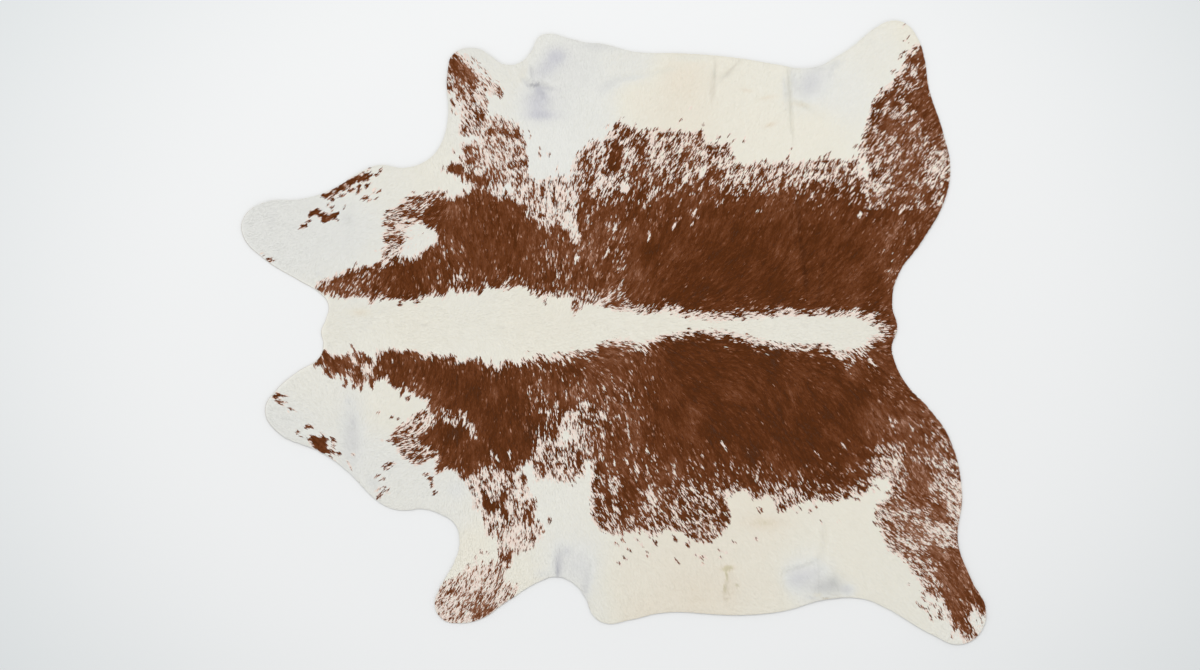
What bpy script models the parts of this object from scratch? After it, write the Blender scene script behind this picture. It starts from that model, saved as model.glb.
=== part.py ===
"""Cowhide rug: one whole hide, hair side up, lying flat on the floor.

Metres, +Z up. The spine lies along X with the tail towards +X and the neck towards -X, and the
underside is at Z = 0. Seen from above, the animal's right side is towards +Y.
"""

import bmesh
import bpy

MM = 0.001

SKIN_THICKNESS = 2.5 * MM  # the tanned leather
HAIR_THICKNESS = 2.5 * MM  # the short coat, lying flat on it
CURVE_STEPS = 8  # straight pieces to each stretch between two outline points

# The cut edge of the hide, counter-clockwise from the tail. Each row is a point on the edge: how far
# along the spine it is from the middle, towards the tail, and how far out from the spine, towards the
# right side, in millimetres. The points are closest together where the edge bends most.
RUMP_RIGHT = [
    (850, 12), (835, 80), (847, 160), (925, 275), (991, 395),
]
HIND_LEG_RIGHT = [
    (1009, 490), (987, 602), (945, 732), (931, 825), (911, 883), (878, 924), (836, 934), (788, 914),
    (710, 852), (664, 823),
]
BELLY_RIGHT = [
    (619, 799), (560, 791), (500, 801), (350, 825), (205, 836), (64, 841), (-40, 866), (-70, 867),
    (-130, 880), (-195, 895), (-223, 885),
]
FORELEG_RIGHT = [
    (-246, 843), (-281, 808), (-330, 804), (-370, 830), (-408, 850), (-478, 836), (-496, 781),
    (-496, 635), (-522, 555), (-560, 515),
]
CHEEK_RIGHT = [
    (-625, 493), (-700, 501), (-740, 490), (-850, 425), (-940, 399), (-1051, 388), (-1109, 343),
    (-1111, 292), (-1051, 224), (-940, 155), (-885, 122),
]
NECK = [
    (-855, 85), (-862, 40), (-876, 5), (-870, -35), (-880, -72),
]
CHEEK_LEFT = [
    (-950, -120), (-1010, -172), (-1044, -230), (-1012, -294), (-880, -356), (-800, -412),
    (-700, -509), (-655, -529), (-610, -531), (-580, -527), (-511, -547),
]
FORELEG_LEFT = [
    (-475, -573), (-460, -625), (-474, -682), (-520, -768), (-534, -820), (-510, -860),
    (-470, -870), (-400, -858), (-320, -805), (-220, -744), (-172, -731), (-123, -748),
]
BELLY_LEFT = [
    (-84, -793), (-62, -845), (-22, -871), (44, -862), (150, -839), (372, -846), (510, -834),
    (639, -799), (751, -798),
]
HIND_LEG_LEFT = [
    (814, -823), (963, -908), (1035, -934), (1093, -906), (1116, -836), (1068, -733),
    (1032, -630), (1044, -478),
]
RUMP_LEFT = [
    (1006, -317), (946, -229), (872, -148), (835, -60), (834, -38),
]
HIDE_OUTLINE = (
    RUMP_RIGHT + HIND_LEG_RIGHT + BELLY_RIGHT + FORELEG_RIGHT + CHEEK_RIGHT + NECK
    + CHEEK_LEFT + FORELEG_LEFT + BELLY_LEFT + HIND_LEG_LEFT + RUMP_LEFT
)

HAIR_BROWN = (0.13, 0.045, 0.018, 1.0)


def clear_scene():
    for thing in list(bpy.data.objects):
        bpy.data.objects.remove(thing, do_unlink=True)


def make_material(name, colour, roughness):
    material = bpy.data.materials.new(name)
    material.use_nodes = True
    surface = material.node_tree.nodes["Principled BSDF"]
    surface.inputs["Base Color"].default_value = colour
    surface.inputs["Roughness"].default_value = roughness
    material.diffuse_color = colour
    return material


def make_outline(name, points, thickness):
    """A closed flat curve through the points, filled and given its thickness."""
    curve = bpy.data.curves.new(name, "CURVE")
    curve.dimensions = "2D"
    curve.fill_mode = "BOTH"
    curve.extrude = thickness / 2
    curve.resolution_u = CURVE_STEPS
    curve.render_resolution_u = 0
    spline = curve.splines.new("BEZIER")
    spline.bezier_points.add(len(points) - 1)
    for knot, (x, y) in zip(spline.bezier_points, points):
        knot.co = (x * MM, y * MM, 0.0)
        knot.handle_left_type = "AUTO"
        knot.handle_right_type = "AUTO"
    spline.use_cyclic_u = True
    return bpy.data.objects.new(name, curve)


def solid_from_curve(name, outline, collection):
    """The filled curve as a closed mesh, standing on the floor with its middle over the origin."""
    mesh = bpy.data.meshes.new_from_object(outline)
    bpy.data.objects.remove(outline, do_unlink=True)
    mesh.name = name
    shape = bmesh.new()
    shape.from_mesh(mesh)
    bmesh.ops.remove_doubles(shape, verts=shape.verts, dist=0.01 * MM)
    bmesh.ops.recalc_face_normals(shape, faces=shape.faces)
    lows = [min(v.co[axis] for v in shape.verts) for axis in range(3)]
    highs = [max(v.co[axis] for v in shape.verts) for axis in range(3)]
    for v in shape.verts:
        v.co.x -= (lows[0] + highs[0]) / 2
        v.co.y -= (lows[1] + highs[1]) / 2
        v.co.z -= lows[2]
    shape.to_mesh(mesh)
    shape.free()
    solid = bpy.data.objects.new(name, mesh)
    collection.objects.link(solid)
    return solid


def build_hide(collection):
    outline = make_outline("hide_outline", HIDE_OUTLINE, SKIN_THICKNESS + HAIR_THICKNESS)
    collection.objects.link(outline)
    hide = solid_from_curve("hide", outline, collection)
    hide.data.materials.clear()
    hide.data.materials.append(make_material("hair_on_hide", HAIR_BROWN, 0.75))
    return hide


def main():
    clear_scene()
    rug = bpy.data.collections.new("cowhide_rug")
    bpy.context.scene.collection.children.link(rug)
    build_hide(rug)


main()
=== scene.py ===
"""Looks of a flat cowhide rug that lies hair side up.

One tanned skin is cut to the animal's outline. It carries a coat of short combed hair locks, brown and
cream, and it lies on a pale studio floor. Tables are in millimetres, and meshes are in metres.
"""

import math
from collections import namedtuple

import bmesh
import bpy
import numpy as np
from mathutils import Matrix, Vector
from mathutils.geometry import delaunay_2d_cdt


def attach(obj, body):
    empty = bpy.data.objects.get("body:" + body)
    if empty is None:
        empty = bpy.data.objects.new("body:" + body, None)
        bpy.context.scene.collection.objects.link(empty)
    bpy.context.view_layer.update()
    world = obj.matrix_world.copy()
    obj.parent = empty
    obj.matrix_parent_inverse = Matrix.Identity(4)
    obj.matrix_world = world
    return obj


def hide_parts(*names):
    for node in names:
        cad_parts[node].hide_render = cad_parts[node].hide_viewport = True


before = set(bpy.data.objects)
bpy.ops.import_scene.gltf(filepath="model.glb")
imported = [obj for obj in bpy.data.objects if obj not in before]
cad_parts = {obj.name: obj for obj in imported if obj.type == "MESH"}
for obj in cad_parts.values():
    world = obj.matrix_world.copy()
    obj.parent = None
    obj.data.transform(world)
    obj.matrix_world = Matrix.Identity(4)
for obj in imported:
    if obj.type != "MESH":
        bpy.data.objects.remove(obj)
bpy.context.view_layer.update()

MM = 0.001
SKIN_THICKNESS = 2.2 * MM
FLOOR_GAP = 0.3 * MM
GRID_STEP = 6.0
EDGE_ROWS = (3.5, 8.0)
EDGE_ROUNDING = 0.7
CREASE_REACH = 26.0
GRID_CLEARANCE = 3.5
HEX_ROW = 0.866
EDGE_RING_HEIGHTS = (0.28, 0.72)
SKIN_MAP_SIZE = (2.4, 2.0)
HIGHEST_RISE = 7.8
COMB_SOFTNESS = 25.0
TINT_SOFTNESS = 45.0
FLECK_FADE = 3.0
MARK_FALL = 1.1
CLOUD_CELLS = 256
CLOUD_SPREAD = 0.62
STREAK_STEPS = 9
PLACES_AT_ONCE = 20000
FAR_AWAY = 1e9
LEAST_DIVISOR = 1e-9


# ---- soft fields over the hide -------------------------------------------------------------------


def smooth(value):
    """0 to 1 with a soft start and end."""
    value = np.clip(value, 0.0, 1.0)
    return value * value * (3.0 - 2.0 * value)


def cloud(places, size, seed):
    """Soft random hills about one size apart, with a mean near 0 and a spread of 1."""
    heights = np.random.default_rng(seed).standard_normal((CLOUD_CELLS, CLOUD_CELLS))
    at = places / size
    cell = np.floor(at).astype(int)
    part = smooth(at - cell)
    left, low = cell[:, 0] % CLOUD_CELLS, cell[:, 1] % CLOUD_CELLS
    right, high = (left + 1) % CLOUD_CELLS, (low + 1) % CLOUD_CELLS
    across, up = part[:, 0], part[:, 1]
    bottom = heights[left, low] * (1 - across) + heights[right, low] * across
    top = heights[left, high] * (1 - across) + heights[right, high] * across
    return (bottom * (1 - up) + top * up) / CLOUD_SPREAD


def streaks(places, comb, size, reach, seed):
    """A cloud that is drawn out along the comb, as strokes of hair are. Its spread is about 1."""
    steps = np.linspace(-reach, reach, STREAK_STEPS)
    total = sum(cloud(places + comb * step, size, seed) for step in steps)
    return total / max(np.std(total), LEAST_DIVISOR)


def gap_to_loop(places, loop):
    """Millimetres from each place to a closed outline: above 0 inside it and below 0 outside."""
    loop = np.asarray(loop, float)
    following = np.roll(loop, -1, axis=0)
    found = np.empty(len(places))
    for first in range(0, len(places), PLACES_AT_ONCE):
        part = places[first : first + PLACES_AT_ONCE]
        nearest = np.full(len(part), FAR_AWAY)
        inside = np.zeros(len(part), bool)
        for a, b in zip(loop, following):
            along = b - a
            off = part - a
            share = np.clip(off @ along / max(along @ along, LEAST_DIVISOR), 0.0, 1.0)
            away = off - share[:, None] * along
            nearest = np.minimum(nearest, (away**2).sum(1))
            crosses = (a[1] > part[:, 1]) != (b[1] > part[:, 1])
            if crosses.any():
                where = a[0] + (part[:, 1] - a[1]) * along[0] / (along[1] if along[1] else 1.0)
                inside ^= crosses & (part[:, 0] < where)
        found[first : first + PLACES_AT_ONCE] = np.where(inside, 1.0, -1.0) * np.sqrt(nearest)
    return found


def gap_to_line(places, line):
    """Millimetres from each place to an open line, and how far along the line the nearest point is."""
    line = np.asarray(line, float)
    nearest = np.full(len(places), FAR_AWAY)
    along_line = np.zeros(len(places))
    for number in range(len(line) - 1):
        start, run = line[number], line[number + 1] - line[number]
        off = places - start
        share = np.clip(off @ run / max(run @ run, LEAST_DIVISOR), 0.0, 1.0)
        away = ((off - share[:, None] * run) ** 2).sum(1)
        closer = away < nearest
        nearest[closer] = away[closer]
        along_line[closer] = (number + share[closer]) / (len(line) - 1)
    return np.sqrt(nearest), along_line


def within(places, loop, margin):
    """Which places lie in the loop's own rectangle, widened by a margin."""
    loop = np.asarray(loop, float)
    low, high = loop.min(0) - margin, loop.max(0) + margin
    return ((places > low) & (places < high)).all(1)


def blend_of_places(places, known, values, softness):
    """Values known at a few places, blended by closeness to them."""
    known = np.asarray(known, float)
    values = np.asarray(values, float)
    total = np.zeros((len(places), values.shape[1]))
    weights = np.zeros(len(places))
    for spot, value in zip(known, values):
        weight = 1.0 / (((places - spot) ** 2).sum(1) + softness**2) ** 1.6
        total += weight[:, None] * value
        weights += weight
    return total / weights[:, None]


# ---- where the coat is brown ---------------------------------------------------------------------

# Each patch sets how much of the coat is brown inside its outline, with a soft border of that width.
# Later patches lie over earlier ones.
Patch = namedtuple("Patch", "brown fade outline")
RIGHT_PATCHES = (
    Patch(0.84, 9, [(-896, 132), (-880, 155), (-845, 162), (-815, 175), (-780, 190), (-745, 194),
        (-720, 200), (-700, 208), (-690, 112), (-720, 106), (-760, 107), (-800, 107),
        (-835, 110), (-868, 114)]),
    Patch(0.55, 10, [(-692, 212), (-696, 246), (-676, 262), (-690, 288), (-684, 306), (-692, 335),
        (-686, 360), (-650, 375), (-640, 392), (-615, 408), (-560, 410), (-520, 425),
        (-500, 420), (-560, 350), (-590, 328), (-628, 310), (-630, 270), (-645, 225)]),
    Patch(0.90, 9, [(-735, 104), (-727, 84), (-712, 108), (-665, 103), (-640, 100), (-604, 98),
        (-593, 82), (-578, 108), (-540, 118), (-510, 108), (-492, 136), (-462, 116),
        (-430, 126), (-402, 115), (-385, 150), (-352, 136), (-330, 126), (-300, 138),
        (-268, 140), (-240, 116), (-200, 124), (-178, 144), (-160, 110), (-130, 122),
        (-125, 300), (-200, 330), (-250, 345), (-270, 372), (-300, 398), (-345, 412),
        (-372, 440), (-396, 458), (-420, 430), (-452, 410), (-480, 392), (-520, 405),
        (-548, 382), (-577, 356), (-580, 332), (-545, 310), (-527, 300), (-527, 268),
        (-560, 250), (-600, 220), (-640, 222), (-680, 202), (-730, 150)]),
    Patch(0.99, 34, [(-725, 122), (-700, 175), (-640, 208), (-600, 205), (-560, 205), (-520, 170),
        (-560, 128), (-640, 118)]),
    Patch(1.00, 44, [(-560, 350), (-520, 385), (-470, 380), (-400, 425), (-340, 395), (-280, 375),
        (-235, 310), (-225, 230), (-250, 180), (-330, 185), (-400, 160), (-430, 200),
        (-480, 270), (-520, 290)]),
    Patch(0.91, 26, [(-225, 118), (-130, 118), (-20, 90), (20, 120), (40, 300), (-10, 420),
        (-100, 440), (-130, 300), (-190, 330), (-225, 300)]),
    Patch(0.36, 12, [(-262, 460), (-215, 455), (-145, 470), (-125, 440), (-130, 330), (-200, 318),
        (-255, 350), (-280, 400)]),
    Patch(0.42, 12, [(-475, 470), (-450, 560), (-395, 572), (-402, 622), (-352, 652), (-330, 642),
        (-292, 624), (-272, 592), (-264, 548), (-258, 500), (-258, 440), (-300, 400),
        (-380, 430), (-420, 440)]),
    Patch(0.78, 5, [(-392, 600), (-350, 618), (-300, 595), (-285, 615), (-276, 580), (-300, 582),
        (-345, 588), (-392, 590)]),
    Patch(0.75, 6, [(-330, 500), (-300, 515), (-262, 512), (-256, 496), (-300, 490), (-328, 488)]),
    Patch(0.80, 7, [(-405, 440), (-395, 470), (-345, 480), (-318, 470), (-318, 450), (-360, 440)]),
    Patch(1.00, 4, [(-500, 479), (-496, 502), (-470, 512), (-448, 497), (-452, 470), (-478, 474)]),
    Patch(1.00, 4, [(-442, 504), (-435, 526), (-420, 530), (-410, 508), (-426, 498)]),
    Patch(0.95, 5, [(-450, 478), (-425, 480), (-405, 460), (-385, 468), (-380, 440), (-420, 440)]),
    Patch(0.75, 5, [(-448, 560), (-430, 562), (-424, 545), (-438, 536), (-450, 545)]),
    Patch(0.40, 8, [(-462, 592), (-456, 640), (-474, 700), (-460, 725), (-380, 725), (-378, 690),
        (-384, 640), (-380, 605), (-402, 590)]),
    Patch(0.70, 5, [(-420, 665), (-385, 665), (-385, 640), (-408, 632)]),
    Patch(0.66, 7, [(-500, 722), (-499, 790), (-490, 830), (-474, 842), (-448, 818), (-402, 772),
        (-402, 745), (-420, 718), (-455, 722)]),
    Patch(0.90, 7, [(-492, 800), (-478, 838), (-455, 805), (-425, 778), (-408, 752), (-430, 744),
        (-468, 762)]),
    Patch(0.30, 8, [(-402, 775), (-330, 732), (-340, 710), (-385, 718), (-404, 740)]),
    Patch(0.12, 10, [(-470, 836), (-440, 842), (-340, 745), (-400, 765)]),
    Patch(0.10, 10, [(-492, 700), (-462, 700), (-450, 640), (-488, 650)]),
    Patch(0.03, 4, [(-642, 228), (-625, 255), (-629, 285), (-622, 312), (-600, 322), (-578, 326),
        (-560, 315), (-545, 305), (-532, 298), (-530, 272), (-545, 276), (-555, 288),
        (-574, 280), (-582, 262), (-574, 246), (-590, 232), (-605, 222), (-625, 226)]),
    Patch(0.14, 9, [(-152, 372), (-128, 368), (-115, 330), (-100, 288), (-103, 262), (-118, 262),
        (-132, 292), (-148, 330)]),
    Patch(0.10, 6, [(-450, 455), (-430, 452), (-422, 425), (-440, 415), (-452, 425)]),
    Patch(0.10, 7, [(-340, 445), (-300, 455), (-300, 415), (-330, 415)]),
    Patch(0.75, 9, [(-485, 178), (-460, 178), (-440, 158), (-445, 128), (-478, 132)]),
    Patch(0.72, 9, [(-372, 160), (-310, 165), (-312, 138), (-370, 138)]),
    Patch(0.53, 12, [(-128, 470), (-116, 512), (-98, 545), (-60, 572), (-30, 572), (-5, 600), (15, 625),
        (50, 612), (90, 598), (130, 600), (180, 606), (215, 600), (262, 598), (285, 565),
        (345, 560), (362, 520), (345, 500), (400, 500), (470, 512), (560, 508),
        (640, 516), (700, 510), (732, 524), (742, 480), (765, 440), (765, 380),
        (500, 380), (200, 370), (20, 360), (-110, 400)]),
    Patch(0.83, 18, [(-112, 350), (-112, 440), (-95, 520), (-60, 500), (-40, 400), (0, 430), (60, 440),
        (60, 560), (95, 560), (100, 470), (200, 440), (300, 490), (335, 480), (350, 430),
        (440, 440), (520, 455), (560, 440), (700, 455), (755, 430), (760, 330),
        (400, 330), (20, 330)]),
    Patch(0.96, 4, [(-16, 482), (-12, 520), (0, 575), (15, 578), (26, 540), (26, 480)]),
    Patch(0.95, 26, [(24, 300), (24, 385), (100, 385), (160, 398), (250, 410), (330, 400), (400, 420),
        (470, 408), (540, 425), (620, 405), (700, 405), (750, 378), (800, 392),
        (860, 370), (960, 390), (1060, 400), (1020, 240), (920, 40), (830, -5), (790, 34),
        (740, 58), (660, 62), (604, 64), (520, 64), (440, 56), (360, 52), (320, 48),
        (240, 55), (200, 62), (160, 76), (100, 66), (60, 72), (20, 100)]),
    Patch(1.06, 50, [(60, 120), (60, 300), (200, 330), (400, 350), (700, 350), (780, 310), (800, 100),
        (600, 90), (200, 100)]),
    Patch(0.60, 10, [(-125, 96), (-118, 56), (-96, 76), (-80, 92), (-60, 92), (-20, 78), (20, 66),
        (70, 70), (70, 92), (0, 110), (-60, 115), (-125, 125)]),
    Patch(0.20, 7, [(-72, 400), (-60, 398), (-42, 440), (-18, 432), (-20, 472), (-45, 478),
        (-60, 455)]),
    Patch(0.20, 6, [(15, 440), (20, 422), (35, 414), (50, 430), (45, 458), (25, 462)]),
    Patch(0.70, 12, [(738, 486), (744, 560), (766, 640), (776, 684), (800, 720), (832, 742),
        (852, 764), (870, 795), (884, 835), (902, 856), (930, 862), (950, 800),
        (975, 700), (1000, 640), (1015, 560), (1015, 400), (860, 360), (770, 380)]),
    Patch(0.86, 10, [(790, 600), (800, 650), (850, 638), (862, 600), (820, 585)]),
    Patch(0.86, 8, [(752, 566), (768, 605), (788, 600), (786, 560)]),
    Patch(0.80, 24, [(800, 420), (840, 520), (900, 530), (950, 470), (930, 410), (850, 380)]),
    Patch(0.92, 8, [(922, 850), (936, 780), (946, 720), (985, 640), (990, 605), (960, 575),
        (925, 620), (905, 690), (915, 760)]),
    Patch(0.48, 12, [(765, 505), (800, 500), (830, 440), (800, 405), (768, 400), (752, 440)]),
    Patch(0.42, 18, [(945, 545), (978, 560), (1010, 540), (1012, 450), (985, 440), (960, 425),
        (940, 450)]),
    Patch(0.92, 5, [(988, 450), (1012, 450), (1012, 380), (985, 400)]),
    Patch(0.10, 9, [(735, 545), (760, 520), (768, 490), (760, 452), (745, 470), (734, 505)]),
    Patch(0.88, 4, [(-875, 406), (-855, 422), (-835, 433), (-800, 458), (-755, 478), (-738, 455),
        (-770, 452), (-790, 440), (-775, 424), (-790, 418), (-815, 426), (-840, 408),
        (-862, 404)]),
    Patch(0.92, 4, [(-921, 344), (-912, 363), (-895, 368), (-870, 360), (-862, 346), (-850, 356),
        (-828, 360), (-827, 334), (-845, 338), (-868, 329), (-884, 342), (-900, 350)]),
)
LEFT_PATCHES = (
    Patch(0.90, 8, [(-870, -50), (-850, -64), (-800, -76), (-790, -60), (-760, -64), (-738, -68),
        (-722, -90), (-706, -88), (-700, -58), (-660, -50), (-640, -58), (-594, -54),
        (-572, -78), (-550, -66), (-500, -74), (-478, -70), (-468, -94), (-420, -82),
        (-395, -82), (-378, -106), (-362, -92), (-342, -110), (-326, -84), (-304, -84),
        (-290, -102), (-272, -80), (-250, -90), (-230, -92), (-225, -330), (-245, -388),
        (-272, -392), (-300, -424), (-340, -418), (-390, -412), (-430, -446),
        (-455, -438), (-470, -412), (-490, -398), (-530, -424), (-535, -400),
        (-526, -362), (-560, -346), (-584, -330), (-586, -300), (-545, -285),
        (-528, -262), (-550, -236), (-560, -205), (-600, -185), (-625, -162),
        (-655, -166), (-674, -152), (-684, -130), (-716, -140), (-722, -166),
        (-736, -146), (-770, -150), (-800, -126), (-850, -130), (-872, -116),
        (-866, -100), (-896, -96)]),
    Patch(1.03, 40, [(-690, -75), (-600, -85), (-500, -100), (-400, -115), (-260, -130), (-245, -340),
        (-300, -390), (-400, -395), (-480, -385), (-510, -340), (-560, -320),
        (-500, -260), (-530, -180), (-600, -140), (-680, -115)]),
    Patch(0.76, 12, [(-560, -195), (-540, -250), (-500, -275), (-450, -265), (-460, -235),
        (-500, -230), (-530, -200)]),
    Patch(0.52, 8, [(-666, -312), (-650, -284), (-620, -268), (-602, -248), (-572, -234),
        (-545, -242), (-532, -272), (-586, -300), (-586, -342), (-545, -362),
        (-555, -380), (-575, -392), (-602, -385), (-626, -378), (-646, -346),
        (-660, -332)]),
    Patch(0.62, 7, [(-606, -382), (-596, -358), (-575, -384), (-580, -398), (-598, -396)]),
    Patch(0.40, 6, [(-756, -92), (-714, -94), (-718, -128), (-754, -126)]),
    Patch(0.25, 5, [(-790, -68), (-774, -70), (-770, -92), (-784, -92)]),
    Patch(0.93, 26, [(-232, -88), (-200, -84), (-155, -76), (-110, -68), (-60, -62), (-40, -46),
        (0, -34), (40, -32), (70, -50), (94, -54), (110, -36), (150, -30), (160, -380),
        (100, -440), (20, -440), (-40, -440), (-110, -240), (-215, -240)]),
    Patch(0.93, 12, [(-266, -95), (-212, -95), (-214, -235), (-262, -235)]),
    Patch(0.88, 12, [(-232, -240), (-150, -240), (-160, -300), (-165, -345), (-190, -330),
        (-205, -300), (-220, -330)]),
    Patch(0.42, 16, [(-225, -320), (-160, -330), (-120, -320), (-90, -340), (-90, -420), (-140, -450),
        (-200, -430), (-232, -440), (-245, -390)]),
    Patch(0.88, 5, [(-115, -360), (-100, -350), (-98, -410), (-112, -418)]),
    Patch(0.85, 5, [(-225, -385), (-206, -385), (-208, -438), (-222, -430)]),
    Patch(0.34, 14, [(-150, -262), (-120, -254), (-95, -265), (-95, -302), (-125, -308),
        (-142, -290)]),
    Patch(0.62, 20, [(-105, -195), (-65, -205), (-45, -260), (-50, -350), (-85, -360), (-105, -320)]),
    Patch(0.96, 5, [(-292, -444), (-272, -418), (-260, -446), (-272, -462), (-286, -460)]),
    Patch(0.28, 10, [(-450, -440), (-427, -475), (-425, -520), (-396, -532), (-386, -582),
        (-380, -612), (-348, -612), (-345, -700), (-310, -705), (-300, -662),
        (-258, -652), (-228, -622), (-206, -602), (-214, -572), (-236, -560),
        (-236, -520), (-226, -508), (-258, -480), (-268, -440), (-300, -420),
        (-390, -412)]),
    Patch(0.92, 5, [(-398, -470), (-385, -522), (-365, -534), (-345, -526), (-332, -550),
        (-318, -578), (-308, -572), (-318, -530), (-318, -480), (-338, -470),
        (-346, -502), (-366, -507), (-380, -475)]),
    Patch(0.74, 5, [(-272, -545), (-240, -508), (-231, -525), (-244, -560), (-242, -586),
        (-266, -588)]),
    Patch(0.80, 5, [(-322, -655), (-305, -650), (-305, -690), (-318, -690)]),
    Patch(0.29, 14, [(-536, -800), (-505, -748), (-470, -735), (-440, -700), (-380, -695),
        (-330, -695), (-325, -745), (-285, -762), (-310, -806), (-400, -862),
        (-450, -874), (-505, -870), (-540, -842)]),
    Patch(0.80, 7, [(-412, -814), (-378, -812), (-352, -812), (-356, -832), (-402, -858),
        (-428, -852)]),
    Patch(0.55, 10, [(-450, -790), (-400, -780), (-360, -790), (-400, -840), (-440, -840)]),
    Patch(0.68, 12, [(-62, -420), (-64, -500), (-62, -555), (-35, -592), (0, -602), (45, -598),
        (85, -590), (112, -608), (142, -600), (152, -580), (200, -590), (245, -620),
        (285, -630), (305, -610), (322, -600), (347, -566), (350, -540), (328, -492),
        (352, -484), (372, -474), (400, -470), (420, -500), (445, -490), (480, -488),
        (492, -532), (512, -530), (545, -510), (600, -500), (650, -506), (700, -490),
        (745, -482), (765, -462), (780, -425), (820, -435), (860, -300), (400, -330),
        (100, -380), (-40, -340)]),
    Patch(0.89, 20, [(-50, -100), (-50, -440), (-25, -510), (20, -510), (85, -505), (100, -455),
        (150, -470), (160, -530), (200, -470), (260, -440), (330, -470), (380, -455),
        (440, -450), (560, -462), (640, -478), (720, -456), (775, -400), (790, -340),
        (700, -300), (100, -300)]),
    Patch(0.955, 24, [(96, -54), (110, -36), (150, -22), (190, -10), (230, -4), (300, -4), (400, -20),
        (448, -38), (500, -44), (560, -46), (640, -46), (700, -92), (750, -66),
        (768, -30), (800, -14), (846, 4), (920, -120), (1020, -230), (1070, -320),
        (900, -360), (830, -320), (790, -330), (750, -395), (680, -440), (600, -430),
        (500, -420), (420, -400), (330, -400), (250, -385), (160, -400), (60, -330),
        (60, -120)]),
    Patch(1.06, 50, [(130, -60), (300, -40), (500, -80), (760, -120), (800, -280), (700, -360),
        (560, -380), (350, -350), (150, -330), (120, -180)]),
    Patch(0.95, 30, [(830, -170), (930, -110), (1070, -340), (900, -370), (810, -310)]),
    Patch(0.97, 5, [(14, -430), (56, -425), (60, -470), (90, -510), (20, -505), (-20, -470)]),
    Patch(0.45, 9, [(-15, -460), (8, -420), (16, -440), (12, -480), (0, -485)]),
    Patch(0.25, 8, [(100, -470), (128, -490), (130, -520), (105, -520)]),
    Patch(0.72, 12, [(690, -56), (745, -50), (742, -84), (700, -96)]),
    Patch(0.48, 14, [(775, -366), (790, -340), (815, -350), (835, -370), (852, -402), (842, -432),
        (810, -426), (780, -422), (770, -400)]),
    Patch(0.95, 6, [(326, -535), (346, -560), (340, -568), (320, -545)]),
    Patch(0.60, 18, [(835, -430), (832, -500), (802, -512), (794, -545), (808, -602), (826, -650),
        (858, -664), (890, -690), (905, -722), (926, -745), (936, -782), (965, -796),
        (984, -790), (996, -820), (1003, -846), (1022, -886), (1040, -900),
        (1062, -930), (1110, -900), (1125, -800), (1060, -640), (1060, -500),
        (1050, -380), (1010, -300), (860, -330)]),
    Patch(0.84, 30, [(845, -285), (1040, -265), (1060, -350), (965, -390), (885, -400),
        (850, -365)]),
    Patch(0.92, 12, [(880, -455), (885, -520), (930, -530), (945, -470), (965, -410), (935, -390),
        (890, -400)]),
    Patch(0.90, 9, [(950, -520), (975, -500), (1000, -530), (998, -575), (960, -572)]),
    Patch(0.90, 14, [(950, -640), (996, -652), (1045, -640), (1060, -700), (1110, -780),
        (1125, -818), (1125, -846), (1098, -838), (1080, -818), (1066, -846),
        (1054, -860), (1080, -895), (1082, -920), (1060, -930), (1045, -892),
        (1018, -860), (1000, -825), (988, -785), (975, -750), (955, -725),
        (978, -700), (958, -670)]),
    Patch(0.40, 8, [(938, -588), (958, -570), (1003, -576), (1045, -596), (1045, -638), (997, -646),
        (965, -632), (948, -618)]),
    Patch(0.24, 16, [(984, -440), (1022, -442), (1055, -457), (1055, -540), (1035, -550),
        (1016, -556), (1003, -524), (986, -480)]),
    Patch(0.60, 14, [(950, -374), (971, -376), (1003, -398), (1026, -418), (1026, -442),
        (990, -438), (962, -420)]),
    Patch(0.08, 5, [(1064, -846), (1080, -822), (1092, -846), (1130, -850), (1130, -900),
        (1092, -910), (1078, -890)]),
    Patch(0.10, 10, [(940, -800), (985, -795), (1000, -860), (950, -860)]),
    Patch(0.80, 5, [(-1022, -188), (-1010, -177), (-1000, -186), (-1000, -200), (-984, -210),
        (-992, -218), (-1005, -212), (-1020, -196)]),
    Patch(1.00, 4, [(-919, -314), (-900, -309), (-882, -313), (-872, -302), (-861, -315),
        (-861, -345), (-850, -360), (-865, -362), (-890, -352), (-907, -338)]),
    Patch(0.22, 6, [(-450, -238), (-435, -238), (-438, -265), (-424, -270), (-412, -295),
        (-410, -318), (-425, -312), (-438, -285), (-450, -268)]),
)

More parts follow.
